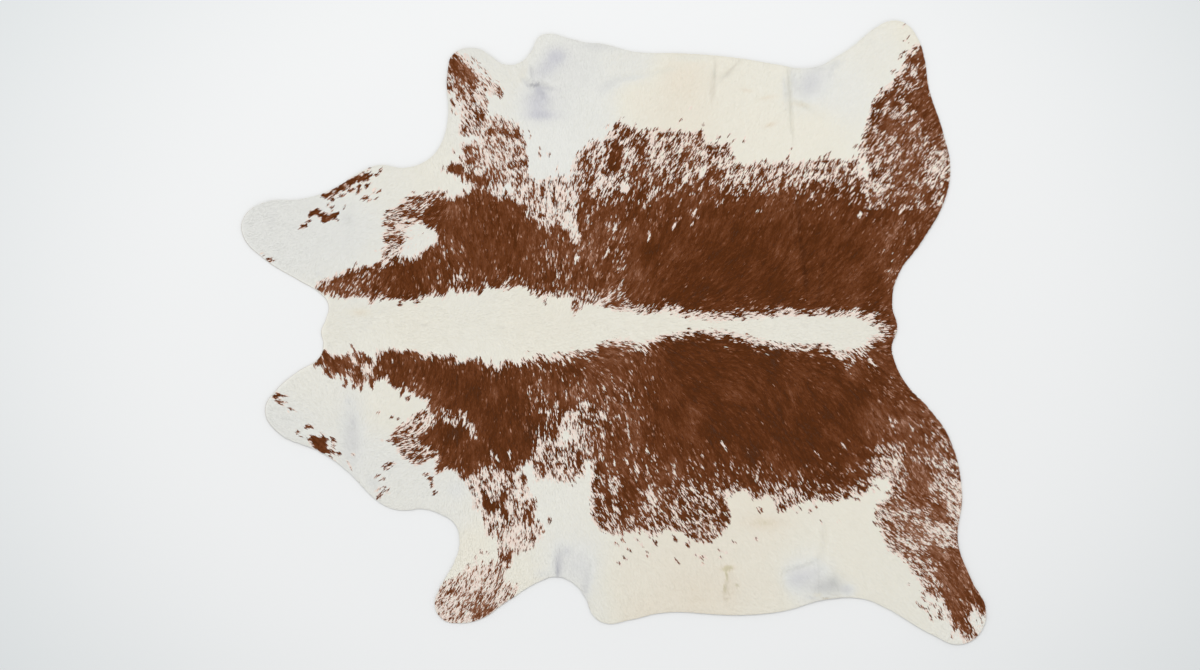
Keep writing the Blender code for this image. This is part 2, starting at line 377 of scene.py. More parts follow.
# Single flecks and gaps in the coat: place, length, width, heading and how brown.
Fleck = namedtuple("Fleck", "x y long wide heading brown")
FLECKS = tuple(
    Fleck(*row)
    for row in (
        (-932, 318, 20, 15, 20, 1.0), (-915, 333, 14, 10, 30, 1.0), (-1032, 218, 18, 12, -35, 1.0),
        (-1055, 234, 10, 7, -30, 0.6), (-765, 430, 34, 12, 75, 1.0), (-740, 440, 20, 14, 60, 0.8),
        (-745, 403, 26, 11, 10, 0.9), (-740, 466, 28, 24, 60, 0.8), (-712, 472, 16, 8, 50, 0.7),
        (-700, 484, 14, 7, 80, 0.7), (-735, 491, 16, 6, 20, 0.7), (-718, 425, 16, 8, 60, 0.6),
        (-702, 423, 12, 6, 30, 0.6), (-708, 402, 12, 7, 30, 0.6), (-733, 397, 14, 6, 30, 0.7),
        (-818, 408, 18, 9, 20, 0.9), (-842, 400, 18, 12, 60, 0.9), (-855, 382, 18, 7, -40, 0.6),
        (-808, 375, 12, 7, 60, 0.6), (-845, 370, 12, 8, 60, 0.7), (-867, 412, 16, 11, 20, 0.9),
        (-797, 186, 12, 10, 20, 0.9), (-880, 154, 14, 7, 20, 0.8), (-713, 242, 9, 6, 0, 0.35),
        (-775, 203, 8, 6, 60, 0.35), (-612, 402, 18, 9, 30, 0.9), (-600, 421, 15, 7, 0, 0.7),
        (-560, 420, 14, 7, 0, 0.6), (-618, 282, 11, 6, -40, 0.7), (-640, 86, 14, 12, 60, 0.9),
        (-512, 485, 14, 10, 80, 0.8), (-480, 685, 20, 9, 105, 0.7), (-222, 532, 12, 7, 100, 0.7),
        (-193, 529, 14, 7, 60, 0.7), (-220, 548, 12, 6, 100, 0.4), (-165, 510, 12, 6, 90, 0.4),
        (-170, 488, 16, 6, 70, 0.5), (-252, 588, 14, 8, 90, 0.6), (-266, 560, 14, 9, 60, 0.6),
        (-480, 543, 16, 7, 105, 0.6), (-205, 90, 16, 14, 70, 0.7), (-110, 222, 20, 15, 85, 0.0),
        (-18, 240, 24, 10, 60, 0.05), (5, 312, 24, 8, 80, 0.1), (-80, 345, 30, 9, 105, 0.1),
        (107, 292, 22, 7, 80, 0.1), (183, 318, 14, 7, 60, 0.1), (236, 320, 20, 7, 60, 0.1),
        (241, 356, 20, 9, 60, 0.2), (125, 420, 40, 9, 60, 0.1), (220, 465, 22, 14, 40, 0.1),
        (268, 485, 30, 20, 60, 0.1), (290, 480, 18, 18, 60, 1.0), (430, 362, 12, 8, 70, 0.1),
        (740, 355, 18, 9, 40, 0.05), (595, 412, 18, 8, 70, 0.1), (36, 530, 26, 14, 60, 0.1),
        (150, 532, 30, 14, 60, 0.15), (-35, 545, 30, 16, 60, 0.15),
        (-22, 615, 15, 7, 20, 0.6), (22, 640, 12, 6, 20, 0.4), (8, 618, 22, 20, 50, 0.95),
        (42, 600, 26, 16, 40, 0.95), (65, 623, 14, 6, 35, 0.4), (100, 607, 13, 8, 60, 0.7),
        (124, 606, 18, 9, 40, 0.6), (205, 635, 20, 6, 20, 0.6), (228, 673, 15, 6, 20, 0.4),
        (268, 622, 9, 6, 0, 0.5), (255, 592, 22, 18, 120, 0.8), (245, 573, 20, 11, 10, 0.8),
        (316, 586, 18, 9, 30, 0.8), (345, 590, 14, 6, 50, 0.4), (360, 572, 16, 6, 50, 0.6),
        (391, 573, 14, 7, 75, 0.6), (300, 563, 18, 8, 30, 0.8), (280, 560, 14, 6, 50, 0.6),
        (335, 555, 22, 10, 60, 0.7), (425, 515, 16, 6, 100, 0.6), (533, 550, 14, 6, 80, 0.6),
        (725, 556, 14, 6, 40, 0.4), (640, 532, 18, 8, 50, 0.6), (520, 525, 18, 7, 60, 0.6),
        (835, 783, 12, 7, 20, 0.7), (848, 778, 10, 7, 30, 0.6), (860, 826, 13, 8, 30, 0.5),
        (868, 838, 12, 6, 40, 0.5), (875, 878, 18, 6, 50, 0.5), (888, 870, 10, 5, 60, 0.4),
        (870, 918, 18, 6, 60, 0.4), (801, 725, 10, 7, 30, 0.5), (-805, -150, 24, 13, -110, 1.0),
        (-780, -158, 16, 11, -60, 1.0), (-757, -158, 22, 9, -100, 1.0), (-725, -156, 24, 11, -95, 1.0),
        (-633, -178, 28, 9, -110, 1.0), (-617, -201, 16, 14, 0, 0.9), (-706, -240, 14, 6, 20, 0.5),
        (-661, -251, 14, 8, 30, 0.8), (-647, -256, 10, 6, 0, 0.6), (-683, -405, 22, 8, -35, 0.95),
        (-672, -397, 20, 8, -30, 0.9), (-661, -391, 15, 11, 0, 0.95), (-710, -433, 10, 9, 0, 0.9),
        (-693, -440, 14, 8, 0, 0.8), (-706, -470, 14, 8, 0, 0.8), (-684, -466, 20, 8, -60, 0.9),
        (-676, -478, 14, 6, -60, 0.6), (-702, -490, 14, 8, 10, 0.9), (-694, -484, 10, 8, 0, 0.9),
        (-562, -424, 18, 7, -20, 0.8), (-547, -437, 18, 9, -10, 0.95), (-545, -452, 14, 8, -60, 0.9),
        (-544, -463, 16, 9, -10, 0.95), (-532, -476, 14, 10, 0, 0.95), (-690, -321, 10, 5, 0, 0.4),
        (-672, -323, 12, 7, 0, 0.8), (-620, -379, 14, 8, 0, 0.9), (-545, -370, 32, 13, 0, 0.9),
        (-990, -190, 18, 7, 0, 0.8), (-979, -237, 9, 6, 90, 0.6), (-960, -232, 14, 5, -30, 0.5),
        (-948, -298, 16, 12, 30, 1.0), (-916, -281, 22, 17, 10, 1.0), (-843, -322, 22, 9, -75, 0.9),
        (-843, -340, 10, 8, 0, 0.9), (-846, -354, 12, 8, -30, 0.9), (-823, -364, 12, 8, 0, 0.7),
        (-792, -398, 22, 6, -65, 0.6), (-781, -365, 9, 6, -80, 0.8), (-845, -376, 12, 5, -40, 0.7),
        (-778, -50, 18, 8, -50, 1.0), (-475, -270, 26, 16, -80, 0.4),
        (-366, -366, 18, 8, -80, 0.1), (-312, -366, 22, 8, -65, 0.1), (-348, -378, 20, 9, -40, 0.15),
        (-350, -592, 34, 12, -70, 1.0), (-335, -590, 22, 8, -100, 0.9), (-368, -590, 22, 8, -90, 0.8),
        (-340, -620, 34, 7, -110, 0.8), (-336, -655, 24, 10, -100, 0.8), (-357, -748, 26, 14, -10, 0.6),
        (-192, -560, 15, 13, 60, 0.8), (-225, -580, 14, 9, -60, 0.7), (-414, -678, 18, 6, -100, 0.8),
        (-397, -656, 18, 6, -60, 0.7), (-378, -658, 10, 6, -70, 0.5), (-365, -688, 16, 7, -100, 0.7),
        (-240, -615, 14, 8, -60, 0.6), (-255, -475, 12, 9, 0, 0.8), (15, -692, 15, 7, -35, 0.7),
        (36, -679, 15, 7, -25, 0.5), (10, -635, 15, 8, -35, 0.8), (44, -648, 18, 7, -35, 0.8),
        (25, -620, 13, 10, 0, 0.45), (66, -616, 18, 7, -35, 0.6), (85, -636, 20, 6, -40, 0.5),
        (125, -631, 18, 12, -50, 0.9), (101, -662, 14, 11, 0, 0.5), (181, -617, 16, 9, -20, 0.9),
        (188, -684, 18, 7, -50, 0.5), (225, -635, 18, 11, 30, 0.9), (232, -608, 28, 11, -15, 0.9),
        (260, -670, 30, 12, 0, 0.4), (265, -695, 14, 6, -15, 0.35), (289, -628, 15, 13, 0, 0.9),
        (322, -656, 20, 9, -10, 0.4), (340, -663, 12, 6, -20, 0.4), (322, -675, 10, 6, -20, 0.45),
        (358, -625, 17, 6, -25, 0.6), (428, -618, 17, 7, -60, 0.8), (312, -585, 26, 11, -65, 1.0),
        (438, -530, 20, 14, 0, 0.4), (588, -532, 14, 12, 0, 0.8), (500, -522, 24, 7, -75, 0.8),
        (545, -535, 12, 9, 0, 0.5), (558, -525, 14, 6, -60, 0.5), (601, -514, 22, 6, -50, 0.6),
        (624, -570, 14, 6, -40, 0.25), (671, -563, 12, 5, 10, 0.2), (730, -500, 16, 9, 10, 0.8),
        (745, -465, 34, 14, -40, 1.0), (780, -480, 12, 8, -10, 0.6), (786, -462, 12, 6, 30, 0.5),
        (640, -475, 26, 14, -20, 1.0), (697, -488, 26, 12, -10, 1.0), (665, -484, 20, 8, -15, 0.9),
        (792, -556, 12, 6, -20, 0.6), (786, -573, 12, 7, -20, 0.5), (1016, -913, 10, 8, 0, 0.6),
        (952, -857, 10, 8, 0, 0.45), (885, -754, 12, 6, -20, 0.45), (920, -818, 26, 6, -40, 0.7),
        (935, -830, 20, 6, -35, 0.6), (930, -800, 22, 6, -35, 0.5), (955, -812, 24, 6, -30, 0.5),
        (820, -480, 20, 8, -20, 0.6), (-225, -68, 18, 14, 0, 0.4), (-262, -58, 12, 6, 80, 0.4),
        (-366, -88, 16, 6, 90, 0.8), (775, -90, 24, 10, -60, 0.3), (830, -265, 22, 8, -65, 0.15),
        (845, -268, 14, 8, -65, 0.2), (895, -288, 14, 8, -60, 0.2), (608, -360, 20, 7, -40, 0.15),
        (690, -340, 26, 8, -55, 0.25), (100, -357, 24, 8, -55, 0.1), (118, -375, 24, 8, -55, 0.15),
        (40, -386, 18, 8, -70, 0.1), (68, -408, 20, 9, -65, 0.1), (2, -388, 18, 7, -75, 0.15),
        (-34, -306, 22, 7, -80, 0.1), (-35, -372, 18, 14, -60, 0.3), (25, -200, 26, 10, -85, 0.2),
        (-78, -215, 36, 18, -50, 0.15), (-32, -246, 30, 18, -60, 0.2), (18, -258, 22, 9, -60, 0.2),
        (36, -166, 22, 12, -70, 0.35), (335, -345, 34, 9, -60, 0.35), (268, -370, 18, 7, -60, 0.35),
    )
)


def ellipse(fleck, corners=14):
    """A fleck's outline."""
    turn = math.radians(fleck.heading)
    along = np.array([math.cos(turn), math.sin(turn)])
    across = np.array([-along[1], along[0]])
    angles = np.linspace(0.0, 2.0 * math.pi, corners, endpoint=False)[:, None]
    return (
        np.array([fleck.x, fleck.y])
        + np.cos(angles) * along * fleck.long / 2
        + np.sin(angles) * across * fleck.wide / 2
    )


def brown_share(places):
    """How much of the coat is brown at each place, 0 to 1, before it breaks up into hairs."""
    share = np.zeros(len(places))
    painted = [(p.brown, p.fade, p.outline) for p in RIGHT_PATCHES + LEFT_PATCHES]
    painted += [(f.brown, FLECK_FADE, ellipse(f)) for f in FLECKS]
    for brown, fade, outline in painted:
        near = np.flatnonzero(within(places, outline, fade))
        if len(near):
            cover = smooth(gap_to_loop(places[near], outline) / fade / 2 + 0.5)
            share[near] += (brown - share[near]) * cover
    return share


# ---- how the coat is combed ----------------------------------------------------------------------

# Place on the hide and the heading in which the hair points there, in degrees from the tail's way.
COMBING = (
    (-1050, 300, 20), (-950, 380, 30), (-800, 420, 40), (-700, 300, 10), (-640, 330, 5),
    (-870, 130, 60), (-760, 150, 62), (-600, 180, 100), (-480, 230, 108), (-560, 380, 30),
    (-450, 400, 100), (-500, 500, 100), (-430, 560, 115), (-440, 700, 120), (-450, 800, 125),
    (-350, 750, 130), (-300, 550, 112), (-250, 350, 95), (-200, 200, 90), (-100, 150, 85),
    (-50, 450, 68), (30, 550, 58), (100, 350, 75), (100, 150, 65), (250, 500, 58),
    (260, 350, 68), (260, 150, 50), (260, 75, 25), (500, 450, 62), (500, 300, 65),
    (500, 150, 50), (500, 85, 30), (700, 450, 58), (700, 300, 60), (700, 150, 48),
    (700, 80, 35), (850, 600, 48), (850, 800, 46), (900, 450, 50), (850, 300, 58),
    (850, 130, 60), (840, 40, 30), (0, 750, 70), (300, 750, 62), (600, 700, 58),
    (-200, 800, 80), (-900, 0, 0), (-600, 30, 0), (-300, 25, 0), (0, 20, 0), (300, 10, 0),
    (550, 12, 0), (800, 10, 0), (-1000, -250, -20), (-870, -330, -35), (-870, -90, -70),
    (-640, -170, -112), (-600, -230, -130), (-620, -330, -168), (-560, -400, -155),
    (-500, -300, -95), (-430, -450, -80), (-350, -550, -85), (-330, -650, -98),
    (-400, -750, -112), (-470, -830, -130), (-350, -800, -125), (-250, -450, -75),
    (-200, -200, -88), (-100, -300, -78), (-50, -500, -60), (100, -500, -58), (100, -300, -70),
    (100, -120, -70), (250, -550, -52), (300, -400, -60), (250, -60, -30), (500, -450, -60),
    (500, -200, -60), (500, -70, -35), (750, -450, -45), (750, -250, -60), (750, -90, -45),
    (880, -550, -38), (900, -400, -60), (1000, -800, -55), (900, -650, -35), (1050, -850, -62),
    (0, -750, -60), (400, -700, -50), (700, -700, -45), (-700, -60, -85), (-350, -110, -90),
)


def comb_directions(places):
    """The flat unit direction of the hair at each place."""
    known = [row[:2] for row in COMBING]
    ways = [(math.cos(math.radians(row[2])), math.sin(math.radians(row[2]))) for row in COMBING]
    way = blend_of_places(places, known, ways, COMB_SOFTNESS)
    return way / np.linalg.norm(way, axis=1)[:, None]


# ---- the tint of the pale coat -------------------------------------------------------------------

# Place, tint from 0, cool grey, to 1, warm cream, and how light it is, 0 to 1.
PALE_TINTS = (
    (-1080, 320, 0.36, 0.66), (-950, 280, 0.38, 0.66), (-800, 300, 0.38, 0.67), (-650, 460, 0.52, 0.70),
    (-560, 480, 0.58, 0.70), (-700, 220, 0.48, 0.70), (-1000, -260, 0.40, 0.66), (-920, -160, 0.50, 0.68),
    (-700, -380, 0.42, 0.68), (-560, -480, 0.44, 0.68), (-650, -240, 0.60, 0.69), (-900, 20, 0.58, 0.70),
    (-600, 30, 0.62, 0.71), (-200, 25, 0.64, 0.72), (200, 15, 0.64, 0.72), (600, 10, 0.58, 0.72),
    (-430, 820, 0.46, 0.62), (-310, 740, 0.50, 0.66), (-320, 690, 0.48, 0.71), (-170, 700, 0.34, 0.68),
    (-100, 780, 0.34, 0.66), (-180, 560, 0.40, 0.75), (-60, 660, 0.42, 0.71), (60, 800, 0.42, 0.67),
    (80, 700, 0.72, 0.73), (200, 740, 0.84, 0.72), (200, 660, 0.76, 0.72), (350, 740, 0.66, 0.73),
    (420, 620, 0.66, 0.76), (600, 600, 0.64, 0.78), (680, 720, 0.44, 0.76), (820, 860, 0.50, 0.76),
    (880, 900, 0.66, 0.74), (430, 760, 0.60, 0.74), (-130, -700, 0.42, 0.70), (-300, -720, 0.62, 0.72),
    (-430, -640, 0.66, 0.73), (-500, -560, 0.46, 0.70), (-80, -820, 0.52, 0.68), (60, -760, 0.72, 0.69),
    (100, -820, 0.82, 0.66), (250, -760, 0.86, 0.66), (250, -700, 0.76, 0.68), (400, -640, 0.72, 0.70),
    (480, -760, 0.74, 0.68), (440, -560, 0.78, 0.71), (560, -740, 0.40, 0.70), (700, -560, 0.66, 0.74),
    (720, -680, 0.64, 0.73), (800, -720, 0.60, 0.72), (900, -820, 0.58, 0.72), (1030, -470, 0.54, 0.76),
    (1080, -880, 0.50, 0.76), (-200, -520, 0.50, 0.73), (980, 500, 0.60, 0.76),
)

# Soft marks on the pale coat: place, half length, half width, heading, tint change and light change. The
# tint changes are the coat's own grey, lavender and warm blotches; the dark lines along creases and lifts
# are painted shade.
Mark = namedtuple("Mark", "x y long wide heading tint light")
PALE_STAINS_AND_SHADE = tuple(
    Mark(*row)
    for row in (
        (585, 745, 66, 46, 60, -0.36, -0.13), (535, 770, 10, 32, 0, -0.10, -0.14),
        (513, 730, 40, 7, 95, -0.12, -0.14), (545, 740, 40, 6, 90, -0.08, -0.10),
        (560, 683, 30, 8, -10, 0.20, -0.08), (590, 665, 34, 7, -28, 0.0, -0.08),
        (665, 803, 22, 12, 20, -0.06, -0.16), (650, 780, 20, 8, 70, -0.08, -0.10),
        (625, 790, 20, 6, 0, -0.04, -0.08), (302, 772, 14, 6, 90, 0.0, -0.26),
        (303, 800, 26, 5, 90, 0.0, -0.12), (350, 785, 46, 5, 48, 0.04, -0.24),
        (295, 730, 40, 9, 88, 0.06, -0.18), (335, 768, 20, 6, 10, 0.0, -0.10),
        (-236, 742, 16, 4, 5, -0.20, -1.10), (-220, 722, 26, 12, -50, -0.25, -0.24),
        (-200, 732, 30, 6, -10, -0.16, -0.22), (-262, 745, 20, 5, -50, -0.16, -0.18),
        (-232, 690, 46, 44, 90, -0.38, -0.08), (-246, 780, 22, 6, -75, -0.12, -0.18),
        (-172, 830, 34, 26, 0, -0.34, -0.07), (-215, 650, 50, 16, 0, -0.30, -0.08),
        (-205, 790, 50, 30, 30, -0.30, -0.06), (-270, 775, 30, 12, 60, 0.10, -0.06),
        (-320, 775, 16, 6, -50, -0.04, -0.06), (-10, 742, 40, 20, 30, -0.14, -0.10),
        (60, 762, 40, 8, 8, -0.12, -0.06), (160, 786, 46, 8, 15, -0.06, -0.06),
        (-45, 855, 60, 14, -5, -0.10, -0.10), (230, 822, 60, 12, 0, -0.16, -0.06),
        (110, 700, 6, 5, 0, 0.05, -0.10), (460, 703, 24, 7, 10, 0.20, -0.06),
        (470, 622, 18, 6, 20, 0.30, -0.10), (400, 725, 20, 5, -10, 0.2, -0.07),
        (526, 700, 95, 4, 94, 0.0, -0.16), (-800, 340, 16, 26, 60, -0.04, -0.08),
        (-1025, 345, 12, 26, 0, -0.04, -0.05), (-885, 175, 16, 8, 0, -0.06, -0.08),
        (-165, -690, 16, 52, 0, -0.28, -0.22), (-168, -715, 5, 24, 0, -0.20, -0.34),
        (-215, -722, 26, 12, 0, -0.10, -0.07), (-100, -700, 50, 60, 0, -0.16, -0.05),
        (-85, -770, 16, 50, -10, -0.20, -0.12), (-140, -655, 14, 16, 0, -0.18, -0.12),
        (570, -30, 4, 12, 30, 0.0, -0.10),
        (640, -762, 50, 30, 10, -0.20, -0.38), (600, -720, 60, 30, 20, -0.18, -0.03),
        (660, -745, 18, 26, 0, -0.06, -0.20), (540, -740, 40, 40, 0, -0.24, -0.05),
        (700, -772, 24, 18, 0, -0.34, -0.10), (530, -702, 40, 5, 12, 0.0, -0.12),
        (605, -682, 16, 8, 0, -0.06, -0.10), (612, -786, 14, 7, 10, 0.20, 0.06),
        (636, -797, 10, 3, 5, 0.40, -0.45), (590, -795, 18, 5, 0, -0.1, -0.12),
        (627, -600, 64, 6, 90, 0.0, -0.08), (342, -706, 20, 9, 10, 0.34, -0.06),
        (339, -728, 4, 16, 8, 0.24, -0.16), (333, -764, 4, 20, -6, 0.16, -0.22),
        (370, -757, 5, 5, 0, 0.20, -0.26), (350, -770, 26, 50, 0, 0.10, -0.05),
        (336, -798, 12, 4, 0, 0.1, -0.10), (250, -800, 30, 10, 0, 0.04, -0.02),
        (-785, -300, 34, 110, 0, -0.20, -0.15), (-795, -205, 10, 8, 0, -0.1, -0.10),
        (-780, -270, 8, 14, 0, -0.1, -0.08), (-720, -450, 16, 30, 40, -0.10, -0.08),
        (-568, 22, 12, 4, 0, 0.0, -0.22), (-334, 16, 10, 4, 0, 0.0, -0.22),
        (571, 22, 12, 4, 0, 0.0, -0.08), (-760, 60, 30, 12, 0, 0.22, -0.04),
        (-470, -470, 30, 30, 0, -0.1, -0.03), (450, -570, 60, 20, 0, 0.14, -0.03),
    )
)


def pale_tint(places):
    """Tint and lightness of the pale coat, each 0 to 1, with its blotches and painted crease shade."""
    known = [row[:2] for row in PALE_TINTS]
    values = [row[2:] for row in PALE_TINTS]
    found = blend_of_places(places, known, values, TINT_SOFTNESS)
    # The marks add blotches of tint, and painted shade along creases and lifts.
    for mark in PALE_STAINS_AND_SHADE:
        turn = math.radians(mark.heading)
        off = places - (mark.x, mark.y)
        along = off @ (math.cos(turn), math.sin(turn)) / mark.long
        across = off @ (-math.sin(turn), math.cos(turn)) / mark.wide
        cover = np.exp(-(along**2 + across**2) * MARK_FALL)
        found += cover[:, None] * (mark.tint, mark.light)
    return found[:, 0], found[:, 1]


# ---- the lie of the hide -------------------------------------------------------------------------

# Creases that packing left: the line, how high it stands and how wide it is, in millimetres.
Crease = namedtuple("Crease", "height width line")
CREASES = (
    Crease(4.2, 7, [(517, 802), (522, 740), (524, 680), (528, 620), (532, 560)]),
    Crease(-1.6, 9, [(545, 790), (542, 740), (538, 690)]),
    Crease(2.4, 10, [(538, 430), (548, 330), (556, 230), (568, 95)]),
    Crease(-2.0, 8, [(552, 430), (562, 330), (572, 230), (584, 95)]),
    Crease(1.8, 9, [(626, 210), (618, 150), (608, 95)]),
    Crease(2.2, 9, [(304, 815), (300, 770), (296, 720), (290, 660)]),
    Crease(2.0, 8, [(384, 820), (350, 786), (325, 770), (298, 755)]),
    Crease(1.8, 9, [(585, 662), (555, 684), (530, 690)]),
    Crease(1.8, 12, [(600, 668), (640, 740), (664, 806)]),
    Crease(3.0, 8, [(-262, 756), (-236, 742), (-214, 742), (-188, 726)]),
    Crease(-1.8, 10, [(-256, 728), (-230, 714), (-218, 690), (-226, 645)]),
    Crease(1.6, 10, [(-252, 800), (-246, 770), (-250, 750)]),
    Crease(1.6, 14, [(-40, 720), (10, 758), (100, 772), (190, 792)]),
    Crease(2.6, 12, [(-166, -632), (-168, -690), (-166, -728)]),
    Crease(1.6, 14, [(-92, -680), (-84, -760), (-60, -830)]),
    Crease(2.4, 16, [(604, -790), (612, -740), (608, -680), (628, -600), (627, -540)]),
    Crease(2.2, 12, [(672, -794), (664, -750), (640, -715)]),
    Crease(1.5, 9, [(500, -712), (560, -692), (605, -676)]),
    Crease(1.6, 9, [(336, -800), (334, -760), (340, -705)]),
    Crease(1.4, 18, [(-790, -190), (-784, -280), (-770, -410)]),
    Crease(1.2, 14, [(-806, 300), (-795, 360), (-780, 420)]),
)

# Creases whose shade is painted as dark lines into the brown coat: how dark and how wide each one is.
PAINTED_CREASE_SHADES = (
    Crease(0.9, 6, [(548, 440), (556, 330), (566, 230), (582, 85)]),
    Crease(0.6, 5, [(532, 400), (540, 300), (548, 230)]),
    Crease(0.8, 5, [(628, 230), (618, 150), (610, 85)]),
    Crease(0.5, 5, [(572, 300), (578, 200), (590, 120)]),
)

# Wide gentle rises of the hide off the floor: place, radius and height.
RISES = (
    (560, 740, 90, 2.0), (-225, 745, 90, 1.6), (640, -750, 100, 2.4), (-165, -690, 80, 1.6),
    (1090, -860, 120, 1.8), (860, 900, 120, 1.6), (-470, 800, 110, 1.6), (-490, -820, 110, 1.8),
    (-1080, 330, 120, 1.4), (-1010, -230, 110, 1.4), (300, 790, 70, 1.2), (340, -790, 80, 1.4),
    (0, 0, 300, 0.8), (850, 10, 60, 1.2), (-870, 30, 60, 1.2),
)


def painted_crease_shade(places):
    """How deep each place lies in the painted shade of the sharp creases of the brown back, 0 to 1."""
    shade = np.zeros(len(places))
    for crease in PAINTED_CREASE_SHADES:
        near = np.flatnonzero(within(places, crease.line, crease.width * 4))
        if len(near):
            away, along = gap_to_line(places[near], crease.line)
            ends = smooth(along * 5) * smooth((1.0 - along) * 5)
            patchy = 0.75 + 0.25 * cloud(places[near], 14, 51)
            shade[near] += crease.height * ends * patchy * np.exp(-((away / crease.width) ** 2))
    return np.clip(shade, 0.0, 1.0)


def lie_of_hide(places):
    """Millimetres between the floor and the underside, over the least gap."""
    height = 1.5 + 0.5 * cloud(places, 310, 11) + 0.28 * cloud(places, 150, 12)
    height += 0.10 * cloud(places, 60, 13)
    for x, y, radius, rise in RISES:
        height += rise * np.exp(-((places - (x, y)) ** 2).sum(1) / radius**2)
    for crease in CREASES:
        near = np.flatnonzero(within(places, crease.line, crease.width * 4))
        if len(near):
            away, along = gap_to_line(places[near], crease.line)
            ends = smooth(along * 6) * 0.6 + 0.4
            ends *= smooth((1.0 - along) * 4) * 0.8 + 0.2
            height[near] += crease.height * ends * np.exp(-((away / crease.width) ** 2))
            height[near] -= 0.25 * crease.height * ends * np.exp(-((away / crease.width / 2.4) ** 2))
    return np.clip(height, 0.0, HIGHEST_RISE)


# ---- the skin ------------------------------------------------------------------------------------


def signed_area(outline):
    """The area inside an outline, above 0 where it runs counter-clockwise."""
    following = np.roll(outline, -1, axis=0)
    return (outline[:, 0] * following[:, 1] - following[:, 0] * outline[:, 1]).sum() / 2


def cut_outline(node):
    """The hide's cut outline in millimetres, counter-clockwise, from the frame's own solid."""
    solid = bmesh.new()
    solid.from_mesh(node.data)
    bmesh.ops.remove_doubles(solid, verts=solid.verts, dist=0.01 * MM)
    beside = {}
    for edge in solid.edges:
        flat = [face for face in edge.link_faces if face.normal.z > 0.9]
        if len(flat) == 1 and len(edge.link_faces) == 2:
            ends = tuple(edge.verts)
            for one, other in (ends, ends[::-1]):
                beside.setdefault(one, []).append(other)
    start = min(beside, key=lambda vert: (round(vert.co.x, 6), round(vert.co.y, 6)))
    loop, last = [start], None
    while True:
        ahead = [vert for vert in beside[loop[-1]] if vert is not last]
        if ahead[0] is start and len(loop) > 2:
            break
        last = loop[-1]
        loop.append(ahead[0])
    outline = np.array([(vert.co.x, vert.co.y) for vert in loop]) / MM
    solid.free()
    return outline if signed_area(outline) > 0 else outline[::-1]


def outward_ways(outline):
    """The outward unit direction at each point of a counter-clockwise outline."""
    along = np.roll(outline, -1, axis=0) - np.roll(outline, 1, axis=0)
    along /= np.linalg.norm(along, axis=1)[:, None]
    return np.stack([along[:, 1], -along[:, 0]], axis=1)


def hex_places(outline):
    """A hexagonal grid of places inside the outline, finer beside the creases."""
    low, high = outline.min(0), outline.max(0)
    rows = np.arange(int((high[1] - low[1]) / GRID_STEP / HEX_ROW) + 2)
    columns = np.arange(int((high[0] - low[0]) / GRID_STEP) + 2)
    row, column = (part.ravel() for part in np.meshgrid(rows, columns, indexing="ij"))
    across = low[0] + (column + 0.5 * (row % 2)) * GRID_STEP
    places = np.stack([across, low[1] + row * GRID_STEP * HEX_ROW], axis=1)
    coarse = (row % 2 == 0) & ((column - row // 2) % 2 == 0)
    wanted = coarse.copy()
    for crease in CREASES:
        near = np.flatnonzero(within(places, crease.line, CREASE_REACH) & ~wanted)
        if len(near):
            wanted[near] |= gap_to_line(places[near], crease.line)[0] < CREASE_REACH
    places = places[wanted]
    return places[gap_to_loop(places, outline) > EDGE_ROWS[-1] + GRID_CLEARANCE]


def top_sheet(outline):
    """Places and triangles of the hide's face: the outline first, then rows inside it, then a grid."""
    outward = outward_ways(outline)
    rows = [outline - outward * EDGE_ROUNDING]
    for inset in EDGE_ROWS:
        row = outline - outward * inset
        rows.append(row[gap_to_loop(row, outline) > inset * 0.9])
    places = np.concatenate([*rows, hex_places(outline)])
    edges = [(i, (i + 1) % len(outline)) for i in range(len(outline))]
    found = delaunay_2d_cdt(
        [Vector(place) for place in places.tolist()], edges, [list(range(len(outline)))], 1, 1e-3
    )
    made = np.array([tuple(place) for place in found[0]])
    triangles = np.array([face for face in found[2] if len(face) == 3])
    order = {source: new for new, sources in enumerate(found[3]) for source in sources}
    rim = np.array([order[i] for i in range(len(outline))])
    return made, triangles, rim


def new_mesh_object(name, points, faces):
    """A mesh object in the scene, in metres."""
    mesh = bpy.data.meshes.new(name)
    mesh.from_pydata(points.tolist(), [], faces.tolist())
    mesh.update()
    made = bpy.data.objects.new(name, mesh)
    bpy.context.scene.collection.objects.link(made)
    return made


def put_attribute(mesh, name, kind, values, domain="POINT"):
    """A named attribute with one value, vector or pair for each point or corner."""
    field = {"FLOAT": "value", "FLOAT_VECTOR": "vector", "FLOAT2": "vector"}[kind]
    made = mesh.attributes.new(name, kind, domain)
    made.data.foreach_set(field, np.ascontiguousarray(values, np.float32).ravel())


